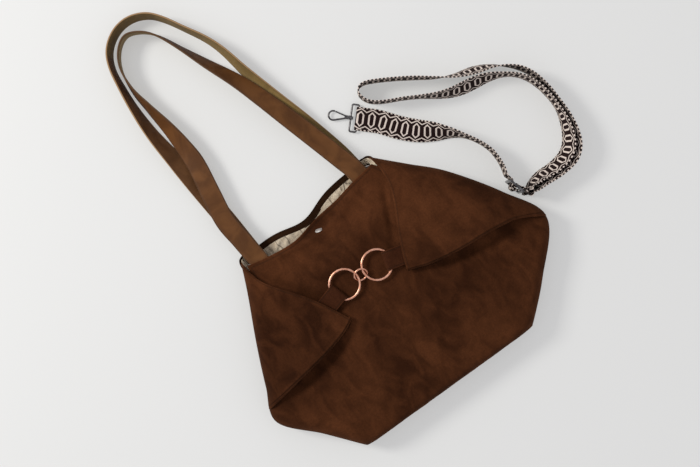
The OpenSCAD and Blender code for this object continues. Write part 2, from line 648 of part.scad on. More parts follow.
strap_route = concat(
    [by_hook(3.2, loop_z + wrap_r * 0.9), by_hook(9, loop_z + 1.3), by_hook(24, loop_z + 1)],
    [[144, 166, 5.4, 2], [158, 150, 7, 12], [173, 134.5, 9.5, 30], [188, 121, 12.8, 55],
     [201, 109, 15, 75], [213, 94, edge_z, 88], [222.5, 77, edge_z, 90],
     [228, 60, edge_z, 90], [228.5, 46, edge_z, 90], [226.5, 33, edge_z + 1, 90]],
    [for (p = [[-17, 3.7], [-bar_pitch, 3.6], [-6.2, 1.2], [-4.8, -2],
               [-2.6, -over_wrap], [0, -over_wrap - 0.3], [2.6, -over_wrap], [4.8, -2],
               [6.2, 1.2], [bar_pitch, 3.6], [15, 3.9]])
        by_slider(p[0], p[1], slider_z)],
    [[229.3, -14.6, 17.4, 91], [240, -14.6, 15.4, 105], [256, -13.4, 14.4, 116],
     [277, -15.4, 14.2, 118], [300, -13.5, 14.2, 118], [315, -3.5, 14.4, 114],
     [324.5, 13, 15, 106], [330.5, 33, edge_z, 97], [333.3, 52, edge_z, 90],
     [333.5, 75, edge_z, 90], [330.2, 98, edge_z, 90], [322, 116, edge_z, 90],
     [309, 130.5, edge_z, 84], [294, 141.5, 15, 73], [274.5, 150.5, 14.4, 64],
     [252, 160, 15, 74], [231, 173.5, edge_z, 86], [210, 190, edge_z, 90],
     [190, 204.5, edge_z, 90], [170, 217.5, edge_z, 90], [156.5, 224.5, edge_z, 90],
     [147.3, 224.5, edge_z, 90], [142.6, 217.5, edge_z, 90], [144.4, 207, edge_z, 90],
     [151.5, 197.8, edge_z, 90], [164, 189, edge_z, 90], [182, 179, edge_z, 90],
     [200, 167.5, edge_z, 89], [218, 155.5, edge_z, 82], [234, 147, 15, 72],
     [250, 141.5, 14.4, 64], [266, 137.5, 14.4, 64], [283, 132, 15, 74],
     [299, 123.5, edge_z, 86], [312, 113, edge_z, 90], [321, 100, edge_z, 90],
     [326.3, 84, edge_z, 90], [328.6, 66, edge_z, 90], [328, 48, edge_z, 90],
     [324.5, 31, edge_z, 82], [318, 14.5, 15, 74], [309, 1.5, 14.4, 66],
     [296, -6.3, 14.2, 62], [277, -8.6, 14.2, 62], [257, -6.6, 14.4, 66],
     [243, -7.4, 15.2, 76], [234, -9.2, 17, 86]],
    [for (p = [[13.5, 5.9], [bar_pitch, 5.6], [6, 4.2], [2.8, 2.75], [0, 2.55],
               [-2.5, 2.2], [-3.2, 0], [-2.5, -2.2], [0, -2.55], [2.2, -2.6]])
        by_slider(p[0], p[1], slider_z)]);
module strap_webbing() {
    color(weave) {
        strap(smooth_curve(strap_route, 2), webbing_w, webbing_t);
        // The first end is folded round the hook's ring and sewn down below the webbing
        translate([hook_at.x, hook_at.y, loop_z]) rotate([90, 0, hook_turn])
            linear_extrude(webbing_w, center = true)
                difference() {
                    union() {
                        circle(r = wrap_r + webbing_t / 2, $fn = 40);
                        translate([-26, -wrap_r - webbing_t / 2])
                            square([26, webbing_t]);
                        translate([-5, wrap_r - webbing_t / 2]) square([5, webbing_t]);
                    }
                    circle(r = wrap_r - webbing_t / 2, $fn = 40);
                }
    }
}
module slider_buckle() {
    len_all = 3 * slider_bar + 2 * slider_slot;
    color(gunmetal)
        translate([slider_at.x, slider_at.y, slider_z])
            rotate([0, 0, atan2(slider_dir.y, slider_dir.x)])
                difference() {
                    cube([len_all, slider_t, slider_h], center = true);
                    for (side = [-1, 1])
                        translate([side * (slider_bar + slider_slot) / 2, 0, 0])
                            cube([slider_slot, slider_t + 2, webbing_w + 1.2],
                                 center = true);
                }
}

// Snap hook. Along the hook's own axis, t = 0 is the bar that the webbing is folded round.
module along_hook() {
    translate([hook_at.x, hook_at.y, loop_z]) rotate([0, 0, hook_turn]) children();
}
module rod(a, b, r) {
    d = b - a;
    translate(a) rotate([0, 0, atan2(d.y, d.x)]) rotate([0, 90, 0])
        cylinder(r = r, h = norm(d), $fn = 32);
}
far_bar = loop_depth + loop_wire;
loop_corner = 2.2;
loop_half = webbing_w / 2 + clear + loop_corner;
swivel_r = 1.2;
boss_end = far_bar + 2.4;
neck_r = 2.5;
neck_start = boss_end + clear;
neck_end = neck_start + 5.3;
gate_pivot = [neck_end - 1.6, -1.35, 0];
gate_eye_r = 1.2;
hook_r = hook_wire / 2;
hook_bend = (hook_w - hook_wire) / 2;
bend_at = neck_end - 0.4 + hook_len - hook_w / 2;
spine_from = [neck_end - 2.4, 1.25, 0];
spine_d = norm([bend_at, 0, 0] - spine_from);
spine_turn = asin(hook_bend / spine_d) - atan2(spine_from.y, bend_at - spine_from.x);
spine_to = spine_from
    + sqrt(spine_d * spine_d - hook_bend * hook_bend) * [cos(spine_turn), sin(spine_turn), 0];
bend_end = atan2(spine_to.y, spine_to.x - bend_at);
module hook_ring() {
    color(gunmetal) along_hook() difference() {
        union() {
            for (side = [-1, 1]) {
                rod([loop_corner, side * loop_half, 0],
                    [far_bar - loop_corner, side * loop_half, 0], loop_r);
                translate([loop_corner, side * (loop_half - loop_corner), 0])
                    rotate([0, 0, side > 0 ? 90 : 180])
                        rotate_extrude(angle = 90, $fn = 48)
                            translate([loop_corner, 0]) circle(r = loop_r, $fn = 32);
                translate([far_bar - loop_corner, side * (loop_half - loop_corner), 0])
                    rotate([0, 0, side > 0 ? 0 : -90])
                        rotate_extrude(angle = 90, $fn = 48)
                            translate([loop_corner, 0]) circle(r = loop_r, $fn = 32);
            }
            for (t = [0, far_bar])
                rod([t, -loop_half + loop_corner, 0], [t, loop_half - loop_corner, 0],
                    loop_r);
            rod([far_bar - 1.6, 0, 0], [boss_end, 0, 0], 2.7);
        }
        rod([-5 + far_bar, 0, 0], [boss_end + 1, 0, 0], swivel_r + 0.15);
    }
}
module hook_body() {
    head_t = 1.2;
    color(gunmetal) along_hook() difference() {
        union() {
            rod([far_bar - 1.6 - clear - head_t, 0, 0], [far_bar - 1.6 - clear, 0, 0], 2.1);
            rod([far_bar - 1.6 - clear, 0, 0], [neck_start, 0, 0], swivel_r);
            rod([neck_start, 0, 0], [neck_end, 0, 0], neck_r);
            rod(spine_from, spine_to + 0.5 * unit(spine_to - spine_from), hook_r + 0.06);
            translate([bend_at, 0, 0]) rotate([0, 0, -bend_end])
                rotate_extrude(angle = 2 * bend_end, $fn = 72)
                    translate([hook_bend, 0]) circle(r = hook_r, $fn = 32);
        }
        translate([gate_pivot.x - gate_eye_r - 0.25, -neck_r - 1, -1.3])
            cube([neck_r + 4, neck_r + 1.05, 2.6]);
        translate([gate_pivot.x, gate_pivot.y, -4]) cylinder(r = 0.52, h = 8, $fn = 24);
    }
}
module hook_gate() {
    gate_r = 0.95;
    span = [spine_to.x, -spine_to.y, 0] - gate_pivot;
    tip = gate_pivot + span - 0.6 * unit(span);
    color(gunmetal) along_hook() difference() {
        union() {
            translate([gate_pivot.x, gate_pivot.y, -1.1])
                cylinder(r = gate_eye_r, h = 2.2, $fn = 32);
            rod(gate_pivot, tip, gate_r);
        }
        translate([gate_pivot.x, gate_pivot.y, -4]) cylinder(r = 0.58, h = 8, $fn = 24);
    }
}
module gate_pin() {
    color(gunmetal) along_hook()
        translate([gate_pivot.x, gate_pivot.y, -2]) cylinder(r = 0.5, h = 4, $fn = 24);
}

back_panel();
front_panel();
base_panel();
back_lining();
front_lining();
base_lining();
back_facing();
front_facing();
front_handle_ends();
back_handle_ends();
snap_cap();
snap_socket();
snap_stud();
snap_washer();
left_dring_loop();
right_dring_loop();
left_dring();
right_dring();
left_wing_outer();
left_wing_lining();
left_wing_inner();
left_tab();
right_wing_outer();
right_wing_lining();
right_wing_inner();
right_tab();
left_ring();
right_ring();
link_ring();
front_handle();
back_handle();
strap_webbing();
slider_buckle();
hook_ring();
hook_body();
hook_gate();
gate_pin();
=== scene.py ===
"""Looks of a soft suede trapeze bag lying on its back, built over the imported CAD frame.

Shapes are worked out in millimetres on whole grids of points and become meshes in metres.
"""
import logging
import math
from dataclasses import dataclass
from enum import Enum
from typing import NamedTuple

import bpy
import numpy as np
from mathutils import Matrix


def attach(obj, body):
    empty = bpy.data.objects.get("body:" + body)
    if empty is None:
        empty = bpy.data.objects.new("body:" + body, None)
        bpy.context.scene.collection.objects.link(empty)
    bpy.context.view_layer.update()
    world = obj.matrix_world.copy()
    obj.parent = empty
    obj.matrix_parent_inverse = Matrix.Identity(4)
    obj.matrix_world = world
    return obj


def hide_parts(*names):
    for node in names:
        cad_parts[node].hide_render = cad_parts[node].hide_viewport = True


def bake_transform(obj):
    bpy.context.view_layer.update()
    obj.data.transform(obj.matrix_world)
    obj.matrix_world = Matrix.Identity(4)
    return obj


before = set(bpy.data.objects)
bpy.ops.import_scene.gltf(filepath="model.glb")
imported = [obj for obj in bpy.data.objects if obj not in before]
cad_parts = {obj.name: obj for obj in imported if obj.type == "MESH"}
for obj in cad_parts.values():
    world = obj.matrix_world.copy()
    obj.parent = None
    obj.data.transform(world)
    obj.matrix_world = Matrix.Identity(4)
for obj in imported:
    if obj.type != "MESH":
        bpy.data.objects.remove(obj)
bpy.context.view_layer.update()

MM = 0.001
Array = np.ndarray
Piece, Paint = bpy.types.Object, bpy.types.Material
Socket, Node, Tree = bpy.types.NodeSocket, bpy.types.Node, bpy.types.NodeTree
log = logging.getLogger("bag")

# Places of the points beside a sheet's border, and where its even points begin, as shares
# of the border's width
BORDER, BORDER_END = np.array([0, 0.12, 0.3, 0.6, 1.0, 1.6]), 2.4
# Share of a sheet's thickness that is left at its very border
THIN_END = 0.02
# How much shorter and weaker each wave of an uneven height is than the one before it
WAVE_SHRINK, WAVE_FADE = 0.72, 0.8
# Shares of a fold's length over which it rises and dies away
FOLD_IN, FOLD_OUT = 0.35, 0.45
# Width in mm beside a strap's edge where its points lie closer
RIBBON_EDGE = 0.6
# Length of a stitch with its gap
STITCH_PITCH = 3.2
# Width and step of the strap's webbing, its thickness inside the slider, and how much
# thicker it is elsewhere
WEBBING_W, WEBBING_STEP, WEBBING_THIN, WEBBING_SWELL = 30.0, 1.1, 0.8, 0.65
# Numbers of the colour sockets of a mix node
MIX_SHARE, MIX_FROM, MIX_TO, MIX_RESULT = 0, 6, 7, 2


# ---------------------------------------------------------------- plain mathematics
def soft(t: Array) -> Array:
    """A smooth step from 0 to 1."""
    c = np.clip(t, 0.0, 1.0)
    return c * c * (3 - 2 * c)


def mix(a: Array, b: Array, t: Array) -> Array:
    """A blend from a, where t is 0, to b, where t is 1."""
    return a + (b - a) * t


def rim(d: Array, r: Array) -> Array:
    """A quarter circle: 0 at distance 0 from an edge, 1 from distance r on."""
    k = 1 - np.clip(d / r, 0.0, 1.0)
    return np.sqrt(1 - k * k)


def unit(v: Array) -> Array:
    """Vectors of length 1 along the last axis."""
    return v / np.maximum(np.linalg.norm(v, axis=-1, keepdims=True), 1e-9)


def curve(points: Array, t: Array) -> Array:
    """A smooth curve through the points, t counted in points.

    Args:
        points: the points to pass through, one to a row.
        t: places along the curve, any shape.
    Returns:
        The places in space, with one more axis than t.
    """
    p = np.asarray(points, float)
    n = len(p) - 1
    i = np.clip(np.floor(t).astype(int), 0, n - 1)
    f = (t - i)[..., None]
    a, b = p[np.maximum(i - 1, 0)], p[i]
    c, d = p[i + 1], p[np.minimum(i + 2, n)]
    return 0.5 * (2 * b + (c - a) * f + (2 * a - 5 * b + 4 * c - d) * f ** 2
                  + (3 * b - a - 3 * c + d) * f ** 3)


def run_lengths(grid: Array, axis: int = 0) -> Array:
    """Length along a line or a grid from its start to every point."""
    step = np.linalg.norm(np.diff(grid, axis=axis), axis=-1)
    zero = np.zeros_like(np.take(step, [0], axis=axis))
    return np.concatenate([zero, np.cumsum(step, axis=axis)], axis=axis)


def whole_length(line: Array) -> float:
    """Length of a line from end to end, its points being the rows' first three numbers."""
    return float(np.linalg.norm(np.diff(line[:, :3], axis=0), axis=1).sum())


def by_length(points: Array, t: Array, fine: int = 400) -> Array:
    """The smooth curve through the points, t being the share of its length."""
    dense = curve(points, np.linspace(0, len(points) - 1, fine))
    run = run_lengths(dense[:, :3])
    return np.stack([np.interp(t * run[-1], run, column) for column in dense.T], -1)


def spaced(length: float, step: float, edge: float = 1.0) -> Array:
    """Shares of a length, even in the middle and close together near both ends."""
    near = BORDER * edge / length
    inner = np.linspace(BORDER_END * edge / length, 1 - BORDER_END * edge / length,
                        max(3, int(length / step)))
    return np.concatenate([near, inner, 1 - near[::-1]])


def ripple(x: Array, y: Array, seed: int, waves: int, longest: float) -> Array:
    """A smooth uneven height from -1 to 1: a sum of sine waves of mixed directions."""
    rng = np.random.default_rng(seed)
    total = np.zeros(np.broadcast(x, y).shape)
    weight = 0.0
    for k in range(waves):
        turn, phase = rng.uniform(0, 2 * math.pi, 2)
        length = longest * WAVE_SHRINK ** k
        share = WAVE_FADE ** k
        total += share * np.sin((x * math.cos(turn) + y * math.sin(turn))
                                * 2 * math.pi / length + phase)
        weight += share
    return total / weight


def ridges(x: Array, y: Array, lines: list) -> Array:
    """Rounded folds along lines, each (x0, y0, x1, y1, half width, height)."""
    total = np.zeros(np.broadcast(x, y).shape)
    for x0, y0, x1, y1, wide, high in lines:
        dx, dy = x1 - x0, y1 - y0
        long = math.hypot(dx, dy)
        along = ((x - x0) * dx + (y - y0) * dy) / long
        aside = ((x - x0) * dy - (y - y0) * dx) / long
        fade = soft(along / (FOLD_IN * long)) * soft((long - along) / (FOLD_OUT * long))
        total += high * fade * np.exp(-(aside / wide) ** 2)
    return total


def wrinkles(x: Array, y: Array, lines: list, waves: tuple) -> Array:
    """Folds along lines, and uneven heights, each (height, seed, waves, longest)."""
    total = ridges(x, y, lines)
    for high, *rest in waves:
        total = total + high * ripple(x, y, *rest)
    return total


def held(z: float, turn: float, *places: tuple) -> list:
    """Rows of a strap's route that keep their height and turn."""
    return [[x, y, z, turn] for x, y in places]


# ---------------------------------------------------------------- meshes
def add_object(name: str, points: Array, faces: list | Array) -> Piece:
    """A smooth mesh object from points in mm, put into the scene."""
    mesh = bpy.data.meshes.new(name)
    mesh.from_pydata(points * MM, [], faces)
    mesh.polygons.foreach_set("use_smooth", np.ones(len(mesh.polygons), bool))
    mesh.update()
    made = bpy.data.objects.new(name, mesh)
    bpy.context.scene.collection.objects.link(made)
    return made


def add_sheet(name: str, points: Array, faces: Array, lay: Array,
              edge: Array) -> Piece:
    """A closed piece that knows its place on the flat material at every point.

    Args:
        name: the piece's name.
        points: points in mm.
        faces: four corners to a row.
        lay: for each point, mm along and across the piece, and its side, 0 or 1.
        edge: for each point, mm to the nearest cut edge.
    Returns:
        The object, with faces turned outward.
    """
    a, b, c, d = (points[faces[:, k]] for k in range(4))
    volume = np.einsum("ij,ij->i", a, np.cross(b, c) + np.cross(c, d)).sum()
    made = add_object(name, points, faces[:, ::-1] if volume < 0 else faces)
    for key, kind, part, values in (("lay", "FLOAT_VECTOR", "vector", lay),
                                    ("edge", "FLOAT", "value", edge)):
        made.data.attributes.new(key, kind, "POINT").data.foreach_set(
            part, np.asarray(values, np.float32).ravel())
    made.data.update()
    made.data.validate()
    return made


def normals(grid: Array) -> Array:
    """Surface directions of a grid, from the steps to its neighbours."""
    return unit(np.cross(np.gradient(grid, axis=1), np.gradient(grid, axis=0)))


def upward(grid: Array) -> Array:
    """Surface directions of a grid, turned up."""
    n = normals(grid)
    return -n if n[..., 2].mean() < 0 else n


def plane(x: Array, y: Array, z: Array | float) -> Array:
    """A grid of points from its three coordinates."""
    return np.stack([x, y, np.broadcast_to(z, x.shape)], -1)


def cloth(name: str, top: Array, thick: Array | float, up: Array | None = None,
          along: Array | None = None) -> Piece:
    """A closed sheet with rounded edges below a grid of surface points.

    Thickness falls to nothing in a half circle at each border, so that both faces meet.

    Args:
        name: the piece's name.
        top: grid of points of the upper face.
        thick: thickness, one value or one for each point.
        up: direction of the upper face, worked out from the grid where it is None.
        along: mm along the piece for each row, where it isn't each column's own length.
    Returns:
        The object.
    """
    n = upward(top) if up is None else up
    half = np.broadcast_to(np.asarray(thick, float), top.shape[:2])[..., None] / 2
    down, across = run_lengths(top, 0), run_lengths(top, 1)
    edge = np.min([down, down[-1:] - down, across, across[:, -1:] - across], axis=0)
    if along is not None:
        down = np.broadcast_to(along[:, None], down.shape)
    swell = np.maximum(rim(edge[..., None], np.maximum(half, 1e-3)), THIN_END)
    middle = top - n * half
    upper = (middle + n * half * swell).reshape(-1, 3)
    lower = (middle - n * half * swell).reshape(-1, 3)
    rows, cols = top.shape[:2]
    at = np.arange(rows * cols).reshape(rows, cols)
    quads = np.stack([at[:-1, :-1], at[:-1, 1:], at[1:, 1:], at[1:, :-1]], -1).reshape(-1, 4)
    ring = np.concatenate([at[0, :-1], at[:-1, -1], at[-1, :0:-1], at[:0:-1, 0]])
    after = np.roll(ring, -1)
    count = rows * cols
    wall = np.stack([ring, ring + count, after + count, after], -1)
    faces = np.concatenate([quads, quads[:, ::-1] + count, wall])
    flat = np.stack([down, across, np.zeros_like(down)], -1).reshape(-1, 3)
    under = flat + np.array([0, 0, 1.0])
    return add_sheet(name, np.concatenate([upper, lower]), faces,
                     np.concatenate([flat, under]), np.concatenate([edge.ravel()] * 2))


def ribbon(name: str, centre: Array, across: Array, wide: float, thick: float | Array,
           step: float, lift: Array | None = None) -> Piece:
    """A flat strap along a line.

    Args:
        name: the piece's name.
        centre: points of the strap's middle.
        across: direction of its width at each point.
        wide: width in mm.
        thick: thickness in mm, one value or one for each point of the middle.
        step: distance between the columns of points.
        lift: a height to add to the upper face, for each row and column.
    Returns:
        The object.
    """
    along = unit(np.gradient(centre, axis=0))
    up = unit(np.cross(along, across))
    place = (spaced(wide, step, RIBBON_EDGE) - 0.5) * wide
    deep = np.broadcast_to(np.asarray(thick, float).reshape(-1, 1), (len(centre), 1))
    top = (centre[:, None] + across[:, None] * place[None, :, None]
           + up[:, None] * deep[..., None] / 2)
    n = np.broadcast_to(up[:, None], top.shape)
    if lift is not None:
        top = top + n * lift[..., None]
    return cloth(name, top, deep, n, run_lengths(centre))


def strap_frame(route: Array, step: float) -> tuple:
    """Middle points and width directions of a strap from its route.

    Args:
        route: rows of x, y, z and turn in degrees; 0 lies flat, 90 stands on edge.
        step: distance between points.
    Returns:
        The middle points and the directions of the width.
    """
    dense = curve(route, np.linspace(0, len(route) - 1, 40 * len(route)))
    count = max(8, int(whole_length(dense) / step))
    even = by_length(route, np.linspace(0, 1, count), 4000)
    d = unit(np.gradient(even[:, :3], axis=0))
    h = unit(np.stack([-d[:, 1], d[:, 0], np.zeros(len(d))], -1))
    v = np.cross(d, h)
    turn = np.radians(even[:, 3:4])
    return even[:, :3], np.cos(turn) * h + np.sin(turn) * v


# ---------------------------------------------------------------- materials
def shade(colour: tuple, share: float) -> tuple:
    """A colour with its brightness multiplied."""
    return tuple(c * share for c in colour[:3]) + (1,)


class Lay(NamedTuple):
    """Place on a piece: mm along and across it, its side, and mm to its edge."""

    along: Socket
    across: Socket
    side: Socket
    edge: Socket


class Graph:
    """A node tree under construction."""

    def __init__(self, tree: Tree) -> None:
        """Keeps the tree."""
        self.tree = tree

    def put(self, target: Socket, value: object) -> None:
        """Links a socket to an input, or sets a constant there."""
        if isinstance(value, Socket):
            self.tree.links.new(value, target)
        elif value is not None:
            target.default_value = value

    def feed(self, node: Node, inputs: dict) -> None:
        """Gives a node its inputs, by name or number."""
        for key, value in inputs.items():
            self.put(node.inputs[key], value)

    def add(self, kind: str, inputs: dict | None = None, **props: object) -> Node:
        """A node with its inputs and its properties."""
        node = self.tree.nodes.new(kind)
        for key, value in props.items():
            setattr(node, key, value)
        self.feed(node, inputs or {})
        return node

    def math(self, operation: str, a: object, b: object = 0.0) -> Socket:
        """One arithmetic step."""
        return self.add("ShaderNodeMath", {0: a, 1: b}, operation=operation).outputs[0]

    def times(self, a: object, b: object) -> Socket:
        """The product of two numbers."""
        return self.math("MULTIPLY", a, b)

    def plus(self, a: object, b: object) -> Socket:
        """The sum of two numbers."""
        return self.math("ADD", a, b)

    def minus(self, a: object, b: object) -> Socket:
        """The first number less the second."""
        return self.math("SUBTRACT", a, b)

    def apart(self, a: object, b: object) -> Socket:
        """How far two numbers are apart."""
        return self.math("ABSOLUTE", self.minus(a, b))

    def beat(self, value: object, period: float) -> Socket:
        """A wave of straight slopes: 0.5 at every whole period and 0 midway between."""
        return self.apart(self.math("FRACT", self.math("DIVIDE", value, period)), 0.5)

    def weave(self, lay: Lay, along: float, across: float) -> Socket:
        """Threads that cross, from how tightly they lie along and across the piece."""
        return self.times(self.math("SINE", self.times(lay.along, along)),
                          self.math("SINE", self.times(lay.across, across)))

    def step(self, value: object, low: float, high: float, a: float = 0.0,
             b: float = 1.0) -> Socket:
        """A soft step from a to b while value goes from low to high."""
        return self.add("ShaderNodeMapRange",
                        {"Value": value, "From Min": low, "From Max": high,
                         "To Min": a, "To Max": b},
                        interpolation_type="SMOOTHSTEP").outputs[0]

    def blend(self, share: object, a: object, b: object) -> Socket:
        """A colour between a and b."""
        return self.add("ShaderNodeMix", {MIX_SHARE: share, MIX_FROM: a, MIX_TO: b},
                        data_type="RGBA").outputs[MIX_RESULT]

    def noise(self, where: object, scale: float, detail: float = 3.0,
              warp: float = 0.0) -> Socket:
        """Cloudy noise."""
        return self.add("ShaderNodeTexNoise",
                        {"Vector": where, "Scale": scale, "Detail": detail,
                         "Distortion": warp}).outputs["Fac"]

    def cells(self, where: object, scale: float) -> Socket:
        """Distance to the border of rounded cells."""
        return self.add("ShaderNodeTexVoronoi", {"Vector": where, "Scale": scale},
                        feature="DISTANCE_TO_EDGE").outputs["Distance"]

    def drawn(self, where: object, scale: tuple, turn: float = 0.0) -> Socket:
        """A place vector that is stretched, and turned about the upright axis."""
        return self.add("ShaderNodeMapping", {"Vector": where, "Scale": scale,
                                              "Rotation": (0, 0, turn)}).outputs[0]

    def lay(self) -> Lay:
        """Where a point is on its piece."""
        parts = self.add("ShaderNodeSeparateXYZ", {0: self.add(
            "ShaderNodeAttribute", attribute_name="lay").outputs["Vector"]}).outputs
        edge = self.add("ShaderNodeAttribute", attribute_name="edge").outputs["Fac"]
        return Lay(parts[0], parts[1], parts[2], edge)

    def bump(self, shader: Node, height: object, deep: float,
             strength: float) -> None:
        """Raises the surface by a height map, deep in mm."""
        self.put(shader.inputs["Normal"], self.add(
            "ShaderNodeBump", {"Height": height, "Distance": deep * MM,
                               "Strength": strength}).outputs[0])

    def group(self, tree: Tree, **inputs: object) -> Node:
        """A shared effect."""
        node = self.add("ShaderNodeGroup", node_tree=tree)
        self.feed(node, inputs)
        return node


def effect(name: str, inputs: dict, outputs: tuple) -> tuple:
    """A new node group.

    Args:
        name: the group's name.
        inputs: socket types by name.
        outputs: names of its number outputs.
    Returns:
        The group, its graph, and its input and output nodes.
    """
    tree = bpy.data.node_groups.new(name, "ShaderNodeTree")
    for key, kind in inputs.items():
        tree.interface.new_socket(key, in_out="INPUT", socket_type=kind)
    for key in outputs:
        tree.interface.new_socket(key, in_out="OUTPUT", socket_type="NodeSocketFloat")
    graph = Graph(tree)
    return tree, graph, graph.add("NodeGroupInput"), graph.add("NodeGroupOutput")


class Effects:
    """Shared effects: nap, pores, stitches and wear."""

    def __init__(self) -> None:
        """Builds every group once."""
        self.nap = self._nap()
        self.pores = self._pores()
        self.stitch = self._stitch()
        self.wear = self._wear()

    @staticmethod
    def _nap() -> Tree:
        """Brushed nap: broad shading where it lies one way or the other, and fine fibre."""
        tree, g, given, out = effect("brushed_nap", {"Place": "NodeSocketVector"},
                                     ("Shade", "Fibre"))
        place = given.outputs[0]
        brushed = g.drawn(place, (1, 0.55, 1), 0.6)
        broad, middle = g.noise(brushed, 9.5, 4, 0.7), g.noise(brushed, 42, 4, 1.4)
        fine, coarse = g.noise(place, 1900, 4), g.noise(place, 420, 2)
        g.feed(out, {"Shade": g.plus(g.times(g.step(broad, 0.34, 0.66), 0.6),
                                     g.times(g.step(middle, 0.3, 0.7), 0.4)),
                     "Fibre": g.plus(g.times(fine, 0.7), g.times(coarse, 0.3))})
        return tree

    @staticmethod
    def _pores() -> Tree:
        """Leather grain: small rounded cells with pores between them."""
        tree, g, given, out = effect("leather_pores", {"Place": "NodeSocketVector"},
                                     ("Height", "Tone"))
        place = given.outputs[0]
        grain = g.step(g.cells(place, 950), 0.0, 0.16)
        g.feed(out, {"Height": g.plus(grain, g.times(g.noise(place, 300, 3), 0.5)),
                     "Tone": g.noise(place, 34, 5, 0.8)})
        return tree

    @staticmethod
    def _stitch() -> Tree:
        """A row of stitches at a set distance from an edge, as a mask."""
        tree, g, given, out = effect(
            "stitch_row", {"Edge": "NodeSocketFloat", "Along": "NodeSocketFloat",
                           "Inset": "NodeSocketFloat"}, ("Thread", "Dent"))
        off = g.apart(given.outputs["Edge"], given.outputs["Inset"])
        long = g.step(g.beat(given.outputs["Along"], STITCH_PITCH), 0.34, 0.42, 1.0, 0.0)
        g.feed(out, {"Thread": g.times(long, g.step(off, 0.22, 0.42, 1, 0)),
                     "Dent": g.step(off, 0.2, 1.3, 1, 0)})
        return tree

    @staticmethod
    def _wear() -> Tree:
        """Rubbed metal: faint scratches and clouded patches."""
        tree, g, given, out = effect("rubbed_metal", {"Place": "NodeSocketVector"},
                                     ("Cloud", "Scratch"))
        place = given.outputs[0]
        g.feed(out, {"Cloud": g.noise(place, 260, 4, 0.5),
                     "Scratch": g.noise(g.drawn(place, (1, 1, 9)), 700, 5, 0.2)})
        return tree


@dataclass(frozen=True)
class Finish:
    """One material: its name, its two main colours, and how rough it is."""

    name: str
    dark: tuple
    light: tuple
    rough: float

    def start(self) -> tuple:
        """A new material.

        Returns:
            The material, its graph, its main shader and its place vector.
        """
        made = bpy.data.materials.new(self.name)
        made.use_nodes = True
        made.node_tree.nodes.clear()
        g = Graph(made.node_tree)
        shader = g.add("ShaderNodeBsdfPrincipled", {"Roughness": self.rough})
        g.add("ShaderNodeOutputMaterial", {"Surface": shader.outputs[0]})
        place = g.add("ShaderNodeTexCoord").outputs["Object"]
        return made, g, shader, place


@dataclass(frozen=True)
class Suede(Finish):
    """Brushed suede with a stitched seam beside its edge."""

    inset: float = 4.2
    thread: tuple = (0.075, 0.035, 0.018, 1)
    sheen: tuple = (0.55, 0.26, 0.12, 1)

    def build(self, fx: Effects) -> Paint:
        """The material: fibre and rubbed edges brighten it, and painted shade darkens the
        stitches' dent.
        """
        made, g, shader, place = self.start()
        lay = g.lay()
        nap = g.group(fx.nap, Place=place).outputs
        row = g.group(fx.stitch, Edge=lay.edge, Inset=self.inset,
                      Along=g.plus(lay.along, lay.across)).outputs
        # Fibre and rubbed edges brighten the colour; the stitches' dent is darkened by
        # painted shade.
        gain = g.times(g.times(g.step(nap["Fibre"], 0.3, 0.75, 0.72, 1.3),
                               g.step(lay.edge, 0.2, 1.6, 1.35, 1.0)),
                       g.step(row["Dent"], 0, 1, 1.0, 0.72))
        colour = g.blend(g.times(row["Thread"], 0.55),
                         g.blend(nap["Shade"], self.dark, self.light), self.thread)
        even = g.add("ShaderNodeCombineXYZ", {0: gain, 1: gain, 2: gain}).outputs[0]
        g.feed(shader, {
            "Base Color": g.add("ShaderNodeVectorMath", {0: colour, 1: even},
                                operation="MULTIPLY").outputs[0],
            "Sheen Weight": 0.10, "Sheen Roughness": 0.45, "Sheen Tint": self.sheen,
            "Specular IOR Level": 0.05})
        height = g.plus(nap["Fibre"], g.minus(g.times(row["Thread"], 1.2),
                                              g.times(row["Dent"], 1.6)))
        g.bump(shader, height, 0.16, 0.7)
        return made


@dataclass(frozen=True)
class Leather(Finish):
    """Smooth leather: grain outside, paler flesh inside, burnished edges, whose colour on the
    back handle is also a painted highlight.
    """

    flesh: tuple = (0.235, 0.150, 0.048, 1)
    # Colour of the edges: the burnished edge, and on the back handle also a painted highlight
    # of edges that face the light
    rim_and_highlight: tuple = (0.10, 0.052, 0.025, 1)
    crease: tuple = (0.035, 0.02, 0.012, 1)
    thread: tuple = (0.10, 0.055, 0.03, 1)
    inset: float = 2.2

    def build(self, fx: Effects) -> Paint:
        """The material: the crease is a line pressed in beside the edge."""
        made, g, shader, place = self.start()
        lay = g.lay()
        grain = g.group(fx.pores, Place=place).outputs
        outer = g.blend(g.step(grain["Tone"], 0.32, 0.68), self.dark, self.light)
        inner = g.blend(g.step(grain["Tone"], 0.3, 0.7), self.flesh, shade(self.flesh, 0.72))
        colour = g.blend(g.step(lay.side, 0.4, 0.6), outer, inner)
        row = g.group(fx.stitch, Edge=lay.edge, Along=lay.along, Inset=self.inset).outputs
        line = g.times(g.step(lay.edge, 0.9, 1.3, 1, 0), g.step(lay.edge, 0.3, 0.7))
        colour = g.blend(g.times(line, 0.6), colour, self.crease)
        # Edges take their own colour; for the back handle this is partly a painted highlight.
        colour = g.blend(g.step(lay.edge, 0.25, 0.6, 0.9, 0.0), colour, self.rim_and_highlight)
        g.feed(shader, {
            "Base Color": g.blend(g.times(row["Thread"], 0.5), colour, self.thread),
            "Roughness": g.step(grain["Height"], 0.2, 1.3, self.rough + 0.12,
                                self.rough - 0.06),
            "Specular IOR Level": 0.16})
        height = g.plus(grain["Height"], g.minus(g.times(row["Thread"], 2.0),
                                                 g.times(row["Dent"], 1.4)))
        g.bump(shader, height, 0.10, 0.6)
        return made


